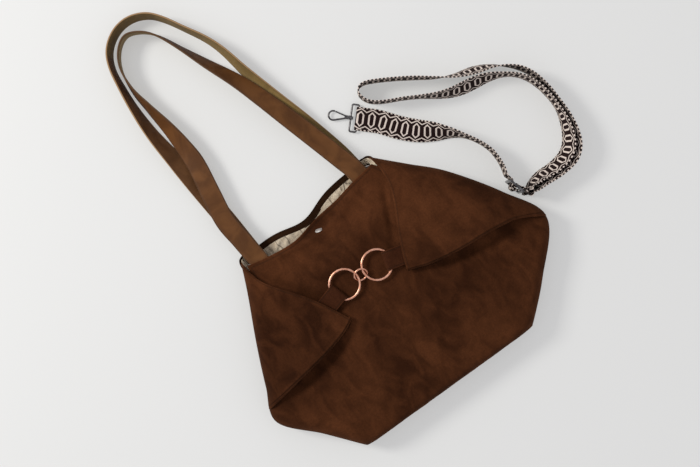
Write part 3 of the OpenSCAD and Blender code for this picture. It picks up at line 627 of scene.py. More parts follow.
@dataclass(frozen=True)
class Lining(Finish):
    """Thin cotton: plain weave, crumpled, with painted shade in its fine creases."""

    # Colour of the painted shade in the creases
    crease: tuple = (0.16, 0.11, 0.075, 1)

    def build(self, fx: Effects) -> Paint:
        """The material."""
        made, g, shader, place = self.start()
        thread = g.weave(g.lay(), 14.0, 14.0)
        crease = g.step(g.cells(g.drawn(place, (1.0, 0.45, 1.0), 0.5), 46), 0.0, 0.045, 1, 0)
        cloudy = g.noise(place, 70, 4, 1.0)
        colour = g.blend(g.step(cloudy, 0.3, 0.7), self.dark, self.light)
        # The creases are darkened with painted shade, and the bump presses them in.
        g.feed(shader, {"Base Color": g.blend(g.times(crease, 0.75), colour, self.crease),
                        "Sheen Weight": 0.15})
        height = g.minus(g.plus(g.times(cloudy, 3.0), g.times(thread, 0.10)),
                         g.times(crease, 1.2))
        g.bump(shader, height, 0.7, 0.8)
        return made


@dataclass(frozen=True)
class Metal(Finish):
    """Plated metal, faintly rubbed."""

    def build(self, fx: Effects) -> Paint:
        """The material."""
        made, g, shader, place = self.start()
        worn = g.group(fx.wear, Place=place).outputs
        g.feed(shader, {
            "Base Color": g.blend(g.step(worn["Cloud"], 0.35, 0.65), self.dark, self.light),
            "Metallic": 1.0,
            "Roughness": g.step(worn["Cloud"], 0.3, 0.7, self.rough - 0.05,
                                self.rough + 0.08)})
        g.bump(shader, worn["Scratch"], 0.02, 0.25)
        return made


@dataclass(frozen=True)
class Woven(Finish):
    """Jacquard webbing: long six-sided rings in cream on dark.

    A cream zigzag and short dashes run beside both edges.
    """

    period: float = 14.6

    def build(self, fx: Effects) -> Paint:
        """The material, from mm off the middle line and mm off a ring's middle."""
        made, g, shader, place = self.start()
        lay = g.lay()
        off = g.apart(lay.across, WEBBING_W / 2)
        on = g.times(g.beat(lay.along, self.period), self.period)
        point = g.math("MAXIMUM", g.minus(off, 5.6), 0.0)
        ring = g.plus(g.math("DIVIDE", on, 4.5), g.math("DIVIDE", point, 4.6))
        rings = g.times(g.step(ring, 0.50, 0.58), g.step(ring, 1.0, 1.07, 1, 0))
        wave = g.plus(off, g.times(on, 0.55))
        zigzag = g.times(g.step(wave, 12.0, 12.4), g.step(wave, 13.5, 13.9, 1, 0))
        dash = g.times(g.step(g.beat(lay.along, self.period / 3), 0.24, 0.31),
                       g.step(off, 13.3, 13.7))
        bright = g.math("MAXIMUM", rings, g.math("MAXIMUM", zigzag, dash))
        rib = g.weave(lay, 7.5, 5.2)
        fuzz = g.noise(place, 1500, 3)
        cloudy = g.step(fuzz, 0.3, 0.7)
        yarn = g.blend(cloudy, self.light, shade(self.light, 0.82))
        ground = g.blend(cloudy, self.dark, shade(self.dark, 1.7))
        g.feed(shader, {"Base Color": g.blend(bright, ground, yarn),
                        "Specular IOR Level": 0.1})
        height = g.plus(g.times(rib, 0.5), g.plus(g.times(bright, 0.9), g.times(fuzz, 0.4)))
        g.bump(shader, height, 0.35, 0.8)
        return made


class Palette:
    """Every finish of the bag, built once."""

    def __init__(self) -> None:
        """Builds the shared effects and the materials."""
        fx = Effects()
        self.suede = Suede("suede", (0.025, 0.0076, 0.0026, 1), (0.090, 0.0293, 0.0103, 1),
                           0.92).build(fx)
        self.facing = Suede("suede_facing", (0.015, 0.0055, 0.0020, 1),
                            (0.031, 0.0130, 0.0050, 1), 0.9, inset=2.0).build(fx)
        self.tab = Suede("tab_suede", (0.034, 0.0095, 0.0035, 1), (0.066, 0.021, 0.0080, 1),
                         0.85, inset=2.2).build(fx)
        self.handle = Leather("handle_leather", (0.082, 0.030, 0.0075, 1),
                              (0.136, 0.053, 0.0145, 1), 0.62).build(fx)
        # Its pale edge colour is the burnished edge with a painted highlight on it.
        self.back_handle = Leather("back_handle_leather", (0.092, 0.038, 0.0125, 1),
                                   (0.152, 0.066, 0.0235, 1), 0.62,
                                   rim_and_highlight=(0.36, 0.22, 0.11, 1)).build(fx)
        self.lining = Lining("lining_cotton", (0.50, 0.40, 0.28, 1),
                             (0.72, 0.61, 0.45, 1), 0.9).build(fx)
        self.copper = Metal("rose_copper", (0.72, 0.33, 0.20, 1), (0.93, 0.52, 0.36, 1),
                            0.36).build(fx)
        self.nickel = Metal("pale_nickel", (0.78, 0.74, 0.69, 1), (0.94, 0.90, 0.85, 1),
                            0.52).build(fx)
        self.gunmetal = Metal("gunmetal", (0.075, 0.072, 0.072, 1),
                              (0.19, 0.18, 0.18, 1), 0.32).build(fx)
        self.webbing = Woven("woven_webbing", (0.013, 0.0055, 0.005, 1),
                             (0.90, 0.77, 0.67, 1), 0.85).build(fx)


def dress(piece: bpy.types.Object, material: bpy.types.Material) -> bpy.types.Object:
    """Gives a piece its one material."""
    piece.data.materials.clear()
    piece.data.materials.append(material)
    return piece


# ---------------------------------------------------------------- the bag's plan
class Side(Enum):
    """The bag's left or right side, as seen with the mouth up."""

    LEFT = "left"
    RIGHT = "right"


# Rows of an outline: 0 at the mouth, 4 at the side corner and 6 at the base corner
SIDE_ROW, BASE_ROW = 4, 6
# Rows over which the roll of a side grows from the mouth, and the rows on the left and the
# right where the wrapped side starts to leave the front panel free
ROLL_ROWS, WRAP_ROWS = 0.8, (3.44, 3.81)
OUTLINE = {
    Side.LEFT: np.array([[-107, 146], [-128, 104], [-156, 53], [-180, 5], [-198, -38],
                         [-160.9, -87], [-128, -132]], float),
    Side.RIGHT: np.array([[103, 148], [135, 111], [168, 72], [206, 8], [229, -52],
                          [177.5, -107], [130, -146]], float)}
MOUTH = np.array([[-104, 138], [-72, 129.5], [-36, 124.5], [0, 129.5], [32, 131.5],
                  [64, 136], [98, 139]], float)
SNAP = (-5.0, 116.0)
SUEDE_T, LINING_T, FACING_T = 1.5, 0.5, 1.0
# Gap between two layers, thickness of a wing's three layers, and width of the facings
LAY, STACK, FACING_W = 0.15, 4.3, 9.5
BODY_TOP, MOUTH_TOP = 37.0, 27.0
BASE_ROUND, ROLL_R, MOUTH_ROLL_R = 9.0, 15.0, 6.0
# Distance below the mouth over which the body fills, and rounding of its sides there
MOUTH_FALL, MOUTH_SIDE_R, BODY_SIDE_R = 62, 8, 21
# Share of a level distance from a side that lies square to it
SQUARE = {Side.LEFT: 0.85, Side.RIGHT: 0.8}
# Level of the panel at the snap, and height and half width of its step there
SNAP_LEVEL, SNAP_STEP, SNAP_SLOPE = 15.1, 5.5, 2.8
# Distance of a wing's fold from the straight line between its two corners
FOLD_INSET = 18
# Middles of the rim and the lining of a mouth corner: x from the corner, y, z and turn
CORNER_RIM = [[-15, 151, 6, 60], [-6, 150.3, 7, 62], [-1, 147.5, 11, 64],
              [0.6, 142, 16, 64], [0.4, 136, 19.5, 60], [-1.2, 129, 22.5, 52]]
CORNER_LINING = [[-19, 147.6, 8.8, 42], [-11, 147.4, 9.5, 44], [-5, 145.4, 12, 46],
                 [-2.4, 140.5, 16.5, 46], [-2.4, 135, 19, 44], [-3.6, 129.5, 21, 36]]
# Handles: width, thickness, how far they lie below the mouth's edge, and their rise there
HANDLE_W, HANDLE_T, HANDLE_UNDER, HANDLE_RISE = 25.0, 2.5, 3.3, 0.6
# Folds of the soft front panel: drags from the snap, sag below the chain, puckers
FRONT_FOLDS = [
    (-14, 112, -92, 132, 5, 1.5), (-16, 104, -88, 118, 6, -1.6),
    (6, 112, 84, 131, 5, 1.4), (8, 104, 80, 112, 7, -1.7),
    (-14, 106, -58, 62, 7, 1.4), (2, 104, 44, 70, 8, 1.6), (-4, 100, -4, 62, 9, -1.4),
    (-30, 30, 20, -60, 18, 1.6), (30, 20, 95, -60, 16, -2.0), (-60, -20, -20, -110, 15, -2.2),
    (-20, -10, 60, -120, 20, 2.4), (110, -30, 150, -110, 14, -2.2),
    (160, -30, 205, -62, 9, 2.0), (-150, -40, -90, -100, 13, 1.8),
    (84, -98, 112, -122, 3.2, 1.6), (96, -92, 120, -112, 3, -1.4),
    (-30, -100, 10, -128, 5, 1.3), (150, -45, 214, -50, 7, -1.8),
    (-104, -50, -40, -122, 8, -1.5), (40, -40, 84, -112, 6, 1.0),
    (-106, 128, -40, 16, 10, -6.0), (-84, 84, -30, -4, 8, -3.5),
    (104, 128, 48, 22, 7, -5.0), (-176, -24, -34, -8, 9, -4.5), (222, -48, 44, 0, 9, -5.0)]
# Uneven heights of the front panel and of a wing: height, seed, waves and longest wave
FRONT_WAVES = ((0.9, 4, 7, 92), (0.22, 9, 5, 19))
WING_WAVES = ((0.5, 3, 6, 70), (0.15, 6, 5, 17))


class Plan:
    """Heights and edges of the body, all in mm."""

    def __init__(self) -> None:
        """Makes look-up tables of the two sides and the mouth."""
        self.tables = {}
        for side, points in OUTLINE.items():
            dense = curve(points, np.linspace(0, BASE_ROW, 600))
            self.tables[side] = dense[np.argsort(dense[:, 1])]
        self.mouth_line = curve(MOUTH, np.linspace(0, len(MOUTH) - 1, 300))

    def side_x(self, side: Side, y: Array) -> Array:
        """Where a side of the body is at height y."""
        table = self.tables[side]
        return np.interp(y, table[:, 1], table[:, 0])

    def front_mouth(self, x: Array) -> Array:
        """The front edge of the mouth."""
        return np.interp(x, self.mouth_line[:, 0], self.mouth_line[:, 1])

    @staticmethod
    def back_mouth(x: Array) -> Array:
        """The back edge of the mouth, with its dip."""
        return mix(150, 151.5, (x + 100) / 200) - 12 * np.exp(-((x + 12) / 32) ** 2)

    @staticmethod
    def base_line(x: Array) -> Array:
        """The base, straight between its two corners."""
        return mix(-132, -146, (x + 128) / 258)

    def below_mouth(self, x: Array, y: Array) -> Array:
        """0 at the mouth and 1 where the body is full."""
        return soft((self.front_mouth(x) - y) / MOUTH_FALL)

    def side_rim(self, x: Array, y: Array) -> Array:
        """0 at the two sides and 1 well inside them."""
        r = mix(MOUTH_SIDE_R, BODY_SIDE_R, self.below_mouth(x, y))
        return np.minimum(rim(SQUARE[Side.LEFT] * (x - self.side_x(Side.LEFT, y)), r),
                          rim(SQUARE[Side.RIGHT] * (self.side_x(Side.RIGHT, y) - x), r))

    def full(self, x: Array, y: Array) -> Array:
        """Height of the filled body, before it rounds down."""
        return mix(MOUTH_TOP, BODY_TOP, self.below_mouth(x, y))

    def face(self, x: Array, y: Array, wrinkled: bool = False) -> Array:
        """Height of the front panel's face.

        The body is full in the middle, rounds down at the sides and the base, falls to
        the mouth, and falls steeply where the snap holds it to the back panel.
        """
        s = self.side_rim(x, y)
        drop = BASE_ROUND * (1 - rim(y - self.base_line(x), BASE_ROUND))
        free = self.full(x, y) * (0.5 + 0.5 * s) - drop * s
        aside, above = x - SNAP[0], y - SNAP[1]
        far = np.hypot(aside * 0.9, above)
        slant = 0.26 * aside * np.exp(-(aside / 9) ** 2)
        held = SNAP_LEVEL - SNAP_STEP * np.tanh((above + slant) / SNAP_SLOPE)
        z = mix(held, free, soft((far - 6.0) / 36))
        if not wrinkled:
            return z
        inside = soft(s * 1.6 - 0.5) * soft((y - self.base_line(x)) / 16)
        calm = inside * soft((far - 8) / 14) * (0.35 + 0.65 * soft(
            (self.front_mouth(x) - y) / 10))
        return z + calm * wrinkles(x, y, FRONT_FOLDS, FRONT_WAVES)

    @staticmethod
    def fold(side: Side) -> tuple:
        """The middle of a wing's straight fold and the direction from it into the body."""
        a, b = OUTLINE[side][0], OUTLINE[side][SIDE_ROW]
        d = unit(b - a)
        inward = np.array([-d[1], d[0]]) if side is Side.LEFT else np.array([d[1], -d[0]])
        return (a + FOLD_INSET * inward + (b + FOLD_INSET * inward)) / 2, inward

    def station(self, side: Side, row: Array) -> tuple:
        """Places on a side's outline and the directions from them into the body."""
        e = curve(OUTLINE[side], row)
        ahead = curve(OUTLINE[side], np.minimum(BASE_ROW, row + 0.1))
        behind = curve(OUTLINE[side], np.maximum(0, row - 0.1))
        d = unit(ahead - behind)
        flip = 1.0 if side is Side.LEFT else -1.0
        return e, np.stack([-d[..., 1], d[..., 0]], -1) * flip

    def between_sides(self, rows: Array, insets: tuple, cols: Array) -> Array:
        """Plan of a panel whose rows join the same place on both sides.

        Args:
            rows: places down the sides.
            insets: for the left and the right side, mm into the body for each row.
            cols: shares from left to right.
        Returns:
            The x and y of the grid.
        """
        ends = []
        for side, inset in zip(Side, insets):
            e, inward = self.station(side, rows)
            ends.append(e + inward * inset[:, None])
        return mix(ends[0][:, None], ends[1][:, None], cols[None, :, None])


@dataclass
class Part:
    """What every sub-assembly needs: the plan and the finishes."""

    plan: Plan
    paint: Palette

    def finish_piece(self, piece: bpy.types.Object, material: bpy.types.Material,
                     body: str, slot: str, nodes: tuple = ()) -> bpy.types.Object:
        """Dresses a piece, lets it ride on a body and hides the CAD nodes that it stands for.
        """
        dress(piece, material)
        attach(piece, body)
        if nodes:
            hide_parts(*nodes)
        log.info("%s: %d faces", piece.name, len(piece.data.polygons))
        return piece

    def sheet(self, name: str, top: Array, thick: float, material: Paint,
              slot: str, *nodes: str, up: Array | None = None) -> None:
        """Builds a closed sheet below the grid top, which rides on the bag's body.

        It stands for the CAD nodes, and up is the direction of its upper face where the
        grid alone doesn't tell it.
        """
        self.finish_piece(cloth(name, top, thick, up), material, "bag", slot, nodes)

    @staticmethod
    def band(low: float, high: float, length: float, step: float, rows: Array) -> Array:
        """The x of a grid that runs along the mouth, for every row."""
        return mix(low, high, spaced(length, step, 0.8))[None, :] + np.zeros((len(rows), 1))


@dataclass
class FrontPanel(Part):
    """The front panel with its facing and lining."""

    def grid(self, rows: Array, cols: Array) -> tuple:
        """Plan of the panel.

        The first row follows the mouth's edge, and its bow fades over the rows below.
        Beside the wings the panel ends under the fold, and below them at the side seam.

        Args:
            rows: places down the sides, 0 at the mouth and 6 at the base.
            cols: shares from left to right.
        Returns:
            The x and the y of the grid.
        """
        insets = []
        for last in WRAP_ROWS:
            hidden = mix(mix(5.5, 12.0, soft(rows / ROLL_ROWS)), 2.5,
                         soft((rows - last + 0.55) / 0.55))
            insets.append(mix(hidden, 0.4, soft((rows - last) / 0.14)))
        p = self.plan.between_sides(np.minimum(rows, 5.985), tuple(insets), cols)
        bow = self.plan.front_mouth(p[0, :, 0]) - p[0, :, 1]
        y = p[..., 1] + bow[None, :] * (1 - soft(rows / 2))[:, None]
        return p[..., 0], np.maximum(self.plan.base_line(p[..., 0]) + 0.4, y)

    def build(self) -> None:
        """Builds the three layers."""
        x, y = self.grid(spaced(285, 1.9, 1.2) * BASE_ROW, spaced(330, 2.0, 1.2))
        top = plane(x, y, self.plan.face(x, y, wrinkled=True))
        self.sheet("front_sheet", top, SUEDE_T, self.paint.suede, "suede", "front_panel")
        deep = top - upward(top) * (SUEDE_T + LAY)
        below = (self.plan.front_mouth(x) - y).mean(1) > FACING_W
        self.sheet("front_lining_cloth", deep[below][:-6, 9:-9], LINING_T,
                   self.paint.lining, "lining", "front_lining")
        rows = spaced(FACING_W, 0.9, 0.6)
        x = self.band(-97, 92, 190, 2.0, rows)
        y = self.plan.front_mouth(x) - 0.1 - rows[:, None] * FACING_W
        top = plane(x, y, self.plan.face(x, y, wrinkled=True))
        self.sheet("front_facing_strip", top - upward(top) * (SUEDE_T + LAY), FACING_T,
                   self.paint.facing, "suede", "front_facing")


@dataclass
class BackPanel(Part):
    """The back panel on the table, its lower sides, facing and lining."""

    def plate(self) -> None:
        """The flat plate, set in from the sides where they start to roll up."""
        rows = spaced(290, 4, 1.2)
        down = rows * 5.9
        r = mix(MOUTH_ROLL_R, ROLL_R, soft(down / ROLL_ROWS))
        p = self.plan.between_sides(down, (r - 0.8, r - 0.8), spaced(300, 4, 1.2))
        bow = self.plan.back_mouth(p[0, :, 0]) - p[0, :, 1]
        y = p[..., 1] + bow[None] * (1 - soft(rows * 2.6))[:, None]
        y = np.maximum(y, self.plan.base_line(p[..., 0]) + BASE_ROUND)
        self.sheet("back_sheet", plane(p[..., 0], y, SUEDE_T), SUEDE_T, self.paint.suede,
                   "suede", "back_panel")

    def lower_side(self, side: Side, first: float, last: float = 5.97) -> None:
        """The border below a wing, from the table up to the side seam."""
        rows = mix(first, last, spaced(150, 1.6, 1.0))
        e, inward = self.plan.station(side, rows)
        turn = np.radians(np.linspace(-90, 4, 26))
        high = self.plan.full(e[:, 0], e[:, 1]) / 2
        rest = BASE_ROUND + (high - BASE_ROUND) * soft((last - rows) / 0.12)
        x = ROLL_R * (1 - np.cos(turn))
        z = rest[:, None] * (1 + np.sin(turn))[None]
        puff = 0.5 * ripple(rows[:, None] * 40, turn[None] * 9, 12, 4, 60)
        p = e[:, None] + inward[:, None] * (x[None] + puff * np.cos(turn)[None])[..., None]
        out = np.concatenate([-inward[:, None] * np.cos(turn)[None, :, None],
                              np.broadcast_to(np.sin(turn)[None, :, None],
                                              (len(rows), len(turn), 1))], -1)
        self.sheet(f"{side.value}_lower_side", plane(p[..., 0], p[..., 1], z), SUEDE_T,
                   self.paint.suede, "suede", "back_panel", up=unit(out))

    def facing(self) -> None:
        """The dark band along the mouth's back edge."""
        rows = spaced(FACING_W, 0.8, 0.7)
        x = self.band(-98, 96, 190, 1.6, rows)
        y = self.plan.back_mouth(x) - rows[:, None] * FACING_W
        z = SUEDE_T + FACING_T + 0.5 * soft((y - self.plan.back_mouth(x) + 3) / 3) \
            + 0.35 * ripple(x, y, 21, 4, 34) + 0.4
        self.sheet("back_facing_strip", plane(x, y, z), FACING_T, self.paint.facing,
                   "suede", "back_facing")

    def lining(self) -> None:
        """The crumpled lining over the back panel, fullest at the two gaps of the mouth."""
        rows = spaced(190, 1.5, 0.8)
        x = self.band(-100, 97, 180, 1.3, rows)
        y = self.plan.back_mouth(x) - FACING_W + 1.2 - rows[:, None] * 190
        gap = soft((y - 104) / 22) * np.exp(-((np.abs(x + 2) - 55) / 26) ** 2)
        crumple = np.abs(ripple(x, y * 0.45, 31, 6, 30))
        z = 2.2 + gap * (3.2 + 5.0 * crumple + 1.2 * ripple(x, y, 8, 5, 11)) \
            + 0.25 * ripple(x, y, 17, 5, 40)
        away = soft((np.hypot(x - SNAP[0], y - SNAP[1]) - 9) / 8)
        self.sheet("back_lining_cloth", plane(x, y, mix(2.1, z, away)), LINING_T,
                   self.paint.lining, "lining", "back_lining")

    def corner(self, side: Side, flip: float, x0: float, seed: int) -> None:
        """The rim of a mouth corner: a suede band with crumpled lining inside it.

        Args:
            side: the corner's side.
            flip: 1 where the corner points right and -1 where it points left.
            x0: the corner's distance from the middle.
            seed: start of the uneven crumpling.
        """
        step = 0.6
        for kind, line, wide, thick, crumple, material, slot in (
                ("rim", CORNER_RIM, 8.0, 1.3, 0.25, self.paint.facing, "suede"),
                ("lining", CORNER_LINING, 9.0, LINING_T, 1.3, self.paint.lining, "lining")):
            route = np.array(line, float)
            route[:, 0] = flip * (x0 + route[:, 0])
            route[:, 3] *= flip
            centre, across = strap_frame(route, step)
            share = np.linspace(0, 1, len(spaced(wide, step, RIBBON_EDGE)))[None]
            lift = crumple * ripple(np.arange(len(centre))[:, None] * step, share * wide,
                                    seed, 6, 9)
            piece = ribbon(f"{side.value}_corner_{kind}", centre, across, wide, thick,
                           step, lift)
            self.finish_piece(piece, material, "bag", slot)

    def build(self) -> None:
        """Builds every layer."""
        self.plate()
        self.lower_side(Side.LEFT, 3.4)
        self.lower_side(Side.RIGHT, 3.8)
        self.facing()
        self.lining()
        self.corner(Side.LEFT, -1.0, 107.0, 5)
        self.corner(Side.RIGHT, 1.0, 103.5, 6)


@dataclass
class BasePanel(Part):
    """The base: it leaves the table in a small round and stands up to the front panel."""

    def build(self) -> None:
        """Builds the band and its lining as one thickness, in rows 0 to 9 from the table.

        Rows 0 to 4 are the round, and the rest is the straight band.
        """
        a, b = OUTLINE[Side.LEFT][BASE_ROW], OUTLINE[Side.RIGHT][BASE_ROW]
        d = unit(b - a)
        out = np.array([d[1], -d[0]])
        u = (1 - np.cos(np.pi * spaced(256, 2.0, 1.5))) / 2
        p = mix(a + 0.3 * d, b - 0.3 * d, u[:, None])
        s = np.maximum(0.1, self.plan.side_rim(p[:, 0], p[:, 1]))[:, None]
        top = self.plan.face(p[:, 0], p[:, 1] + 0.4)[:, None] - 0.3
        k = spaced(46, 1.2, 0.8)[None] * 9
        low = mix(BODY_TOP / 2 - 0.6, BASE_ROUND, s)
        phi = np.radians(-90 + 22.5 * np.minimum(k, 4))
        up = np.maximum(0, k - 4) / 5
        puff = 0.6 * ripple(p[:, :1], k * 6, 14, 5, 46) * np.sin(np.pi * up)
        inset = BASE_ROUND * s * (1 - np.cos(phi)) - (2.0 * s + puff) * np.sin(np.pi * up)
        z = np.where(k <= 4, low * (1 + np.sin(phi)), mix(low, top, up))
        grid = np.concatenate([p[:, None] - out * inset[..., None], z[..., None]], -1)
        n = normals(grid)
        self.sheet("base_band", grid, SUEDE_T + LAY + LINING_T, self.paint.suede, "suede",
                   "base_panel", "base_lining", up=n * np.sign((n[..., :2] @ out).mean()))


@dataclass
class Wing(Part):
    """A side of the bag: it leaves the table, rounds the side and becomes a folded wing.

    The mouth's edge and the side seam run to the wing's tip, and the folds are ridges.
    Bulge is the height of its middle, and lift that of its part beside the seam.
    """

    side: Side
    last_row: float
    mouth: list
    seam: list
    bulge: float
    lift: float
    folds: list

    def plan_grid(self, v: Array, f: Array) -> Array:
        """Plan of the part that is seen from above.

        Between the mouth's edge and the side seam, both by length, with the outline of the
        body as its outer border.

        Args:
            v: shares from the mouth's edge to the seam.
            f: shares from the body's outline to the tip.
        Returns:
            The x and y of the grid.
        """
        start = curve(OUTLINE[self.side], v * self.last_row)
        edges = [by_length(np.vstack([first, points]), f)
                 for points, first in ((self.mouth, start[0]), (self.seam, start[-1]))]
        p = mix(edges[0][None], edges[1][None], v[:, None, None])
        ideal = mix(start[0], start[-1], v[:, None])
        return p + (start - ideal)[:, None] * ((1 - f) ** 2)[None, :, None]

    def level(self, x: Array, y: Array, under: Array, v: Array, f: Array) -> Array:
        """Height of the wing's upper face at x and y of the grid with the shares v and f.

        Under is the x of the place whose height the wing lies on.
        """
        reach, down = f[None, :], v[:, None]
        high = self.plan.face(under, y) + 0.6 + STACK
        high = high + 3.0 * soft(reach / 0.42)
        puff = np.sin(np.pi * np.clip(v, 0, 1))[:, None] ** 0.8 * soft(reach * 2.2) \
            * soft((1 - reach) * 2.4)
        high = high + self.bulge * puff
        for rise, grown in ((1.6, soft((0.35 - down) / 0.35)),
                            (self.lift, soft((down - 0.55) / 0.45))):
            high = high + rise * grown * soft(reach * 3) * soft((1 - reach) * 2.2)
        return high + wrinkles(x, y, self.folds, WING_WAVES) * soft(reach * 4)

    @staticmethod
    def hem(d: Array, free: Array, ridge: tuple, groove: tuple, roll: tuple) -> Array:
        """Height of a turned edge: a ridge, the stitches' groove and a rolled border.

        Ridge and groove are height, distance from the edge and half width, and roll is the
        border's fall and width. Free is 1 where the edge is free and d the distance to it.
        """
        return ridge[0] * np.exp(-((d - ridge[1]) / ridge[2]) ** 2) \
            - groove[0] * np.exp(-((d - groove[1]) / groove[2]) ** 2) \
            - roll[0] * free * (1 - soft(d / roll[1]))

    def build(self) -> None:
        """Builds the layered fabric as one sheet, which rises from the table in a roll at the
        side.
        """
        near = 0.16  # share of the way to the tip where the columns lie closer
        v = spaced(190, 1.3, 1.6)
        f = np.concatenate([np.linspace(0, 1, 26)[:-1] ** 2 * near,
                            near + (1 - near) * spaced(150, 1.7, 1.6)[1:]])
        p = self.plan_grid(v, f)
        x, y = p[..., 0], p[..., 1]
        side_x = self.plan.side_x(self.side, y)
        gap = SQUARE[self.side] * np.abs(x - side_x)
        r = mix(MOUTH_ROLL_R, ROLL_R, soft(v * self.last_row / ROLL_ROWS))[:, None]
        under = np.where(gap < r, side_x + np.sign(-side_x) * r / SQUARE[self.side], x)
        level = self.level(x, y, under, v, f)
        share = np.sqrt(1 - (1 - np.clip(gap / r, 0, 1)) ** 2)
        half = level[:, :1] / 2
        upper = plane(x, y, half + (level - half) * share)
        down = run_lengths(upper, 0)
        free = soft(f[None, :] * 5)
        upper[..., 2] += self.hem(down[-1:] - down, free, (0.7, 5.6, 1.6), (1.15, 3.7, 0.75),
                                  (2.2, 3.6))
        upper[..., 2] += self.hem(down, free, (0.35, 3.6, 1.2), (0.6, 2.3, 0.7), (0.9, 2.2))
        e, inward = self.plan.station(self.side, v * self.last_row)
        turn = np.radians(np.linspace(-90, 0, 20)[:-1])
        ex = r * (1 - np.cos(turn))[None]
        low = np.concatenate([e[:, None] + inward[:, None] * ex[..., None],
                              (half * (1 + np.sin(turn))[None])[..., None]], -1)
        top = np.concatenate([low, upper], 1)
        n = normals(top)
        n = n * np.sign(n[:, -20:, 2].mean())
        columns = np.concatenate([np.zeros(low.shape[1]), soft(f / 0.14)])
        piece = cloth(f"{self.side.value}_wrap", top, mix(SUEDE_T, STACK, columns)[None], n)
        dress(piece, self.paint.suede)
        middle, into = self.plan.fold(self.side)
        name = self.side.value
        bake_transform(piece)
        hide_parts(f"{name}_wing_outer", f"{name}_wing_lining",
                    f"{name}_wing_inner")
        log.info("%s: %d faces", piece.name, len(piece.data.polygons))


@dataclass
class Handle(Part):
    """A leather handle, in one piece with its two sewn ends.

    Ends are y and z of the sewn rows, outward from the seam, and line is the y in metres
    where the strap starts to bend, which is not used. Turned is the length in mm after
    which its flesh side is up, and 0 where it never is.
    """

    name: str
    route: list
    ends: tuple
    line: float
    leather: Paint
    turned: float = 0.0

    def build(self) -> None:
        """Builds the strap along its route, between its two sewn ends."""
        first = [[self.route[0][0], y, z, 0] for y, z in self.ends]
        last = [[self.route[-1][0], y, z, 0] for y, z in reversed(self.ends)]
        centre, across = strap_frame(np.vstack([first, self.route, last]), 2.2)
        piece = ribbon(f"{self.name}_handle_strap", centre, across, HANDLE_W, HANDLE_T, 1.6)
        if self.turned:
            self.turn_over(piece)
        dress(piece, self.leather)
        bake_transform(piece)
        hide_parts(f"{self.name}_handle", f"{self.name}_handle_ends")
        log.info("%s: %d faces", piece.name, len(piece.data.polygons))

    def turn_over(self, piece: Piece, over: float = 34) -> None:
        """Swaps grain and flesh beyond the place where the strap stands on edge.

        Args:
            piece: the strap, with its place on the leather stored on each point.
            over: length in mm over which they change.
        """
        lay = piece.data.attributes["lay"].data
        place = np.empty(len(lay) * 3, np.float32)
        lay.foreach_get("vector", place)
        place = place.reshape(-1, 3)
        share = soft((place[:, 0] - self.turned) / over)
        place[:, 2] = mix(place[:, 2], 1 - place[:, 2], share)
        lay.foreach_set("vector", place.ravel())


@dataclass
class Loops(Part):
    """The two ring tabs and the loops of the two strap rings."""

    def folded(self, name: str, at: tuple, way: Array, profile: Array, wide: float,
               thick: float, body: str, node: str) -> None:
        """A strip folded over a wire.

        Args:
            name: the piece's name.
            at: the place that the profile is measured from.
            way: horizontal direction of the profile's first number.
            profile: middle line of the strip, along the way and up.
            wide: width of the strip.
            thick: thickness of the strip.
            body: the body it rides on.
            node: the CAD node it stands for.
        """
        way = unit(np.asarray(way, float))
        line = by_length(np.asarray(profile, float), np.linspace(0, 1, 150), 2000)
        centre = np.concatenate([np.asarray(at[:2]) + line[:, :1] * way,
                                 at[2] + line[:, 1:2]], 1)
        across = np.tile([-way[1], way[0], 0.0], (len(line), 1))
        piece = ribbon(name, centre, across, wide, thick, 0.9)
        self.finish_piece(piece, self.paint.tab, body, "suede", (node,))

    def build(self) -> None:
        """Builds the four loops."""
        r, eye_r = 2.95, 1.95
        bend = np.radians(np.linspace(-90, 90, 9))
        around = np.stack([3.6 - r * np.cos(bend), r * np.sin(bend)], -1)
        tab = np.vstack([[50, -r], [30, -r], [15, -r], [7, -r], around,
                         [7, 2.7], [11, 1.6], [15, 0.25], [19, -0.9], [24, -1.5],
                         [30, -1.65], [40, -1.65], [50, -1.65]])
        for side, at, way in (("left", (-21.5, 43.5), (-0.97, -0.22)),
                              ("right", (25.0, 37.5), (0.95, -0.31))):
            way = unit(np.array(way))
            start = (at[0] + way[0] * 9.5, at[1] + way[1] * 9.5, 41.0)
            self.folded(f"{side}_ring_tab", start, way, tab, 25.0, 1.3, f"{side}_wing",
                        f"{side}_tab")
        turn = np.radians(np.linspace(-90, 215, 17))
        eye = np.stack([eye_r * np.cos(turn), eye_r * np.sin(turn)], -1)
        loop = np.vstack([[-16, -eye_r], [-9, -eye_r], [-3, -eye_r], eye, [-2.6, -0.72],
                          [-6, -0.7], [-16, -0.7]])
        for side, at in (("left", (-96, 129, 7.85)), ("right", (91, 131, 7.85))):
            self.folded(f"{side}_strap_ring_loop", at, (0, 1), loop, 11.0, 1.15, "bag",
                        f"{side}_dring_loop")


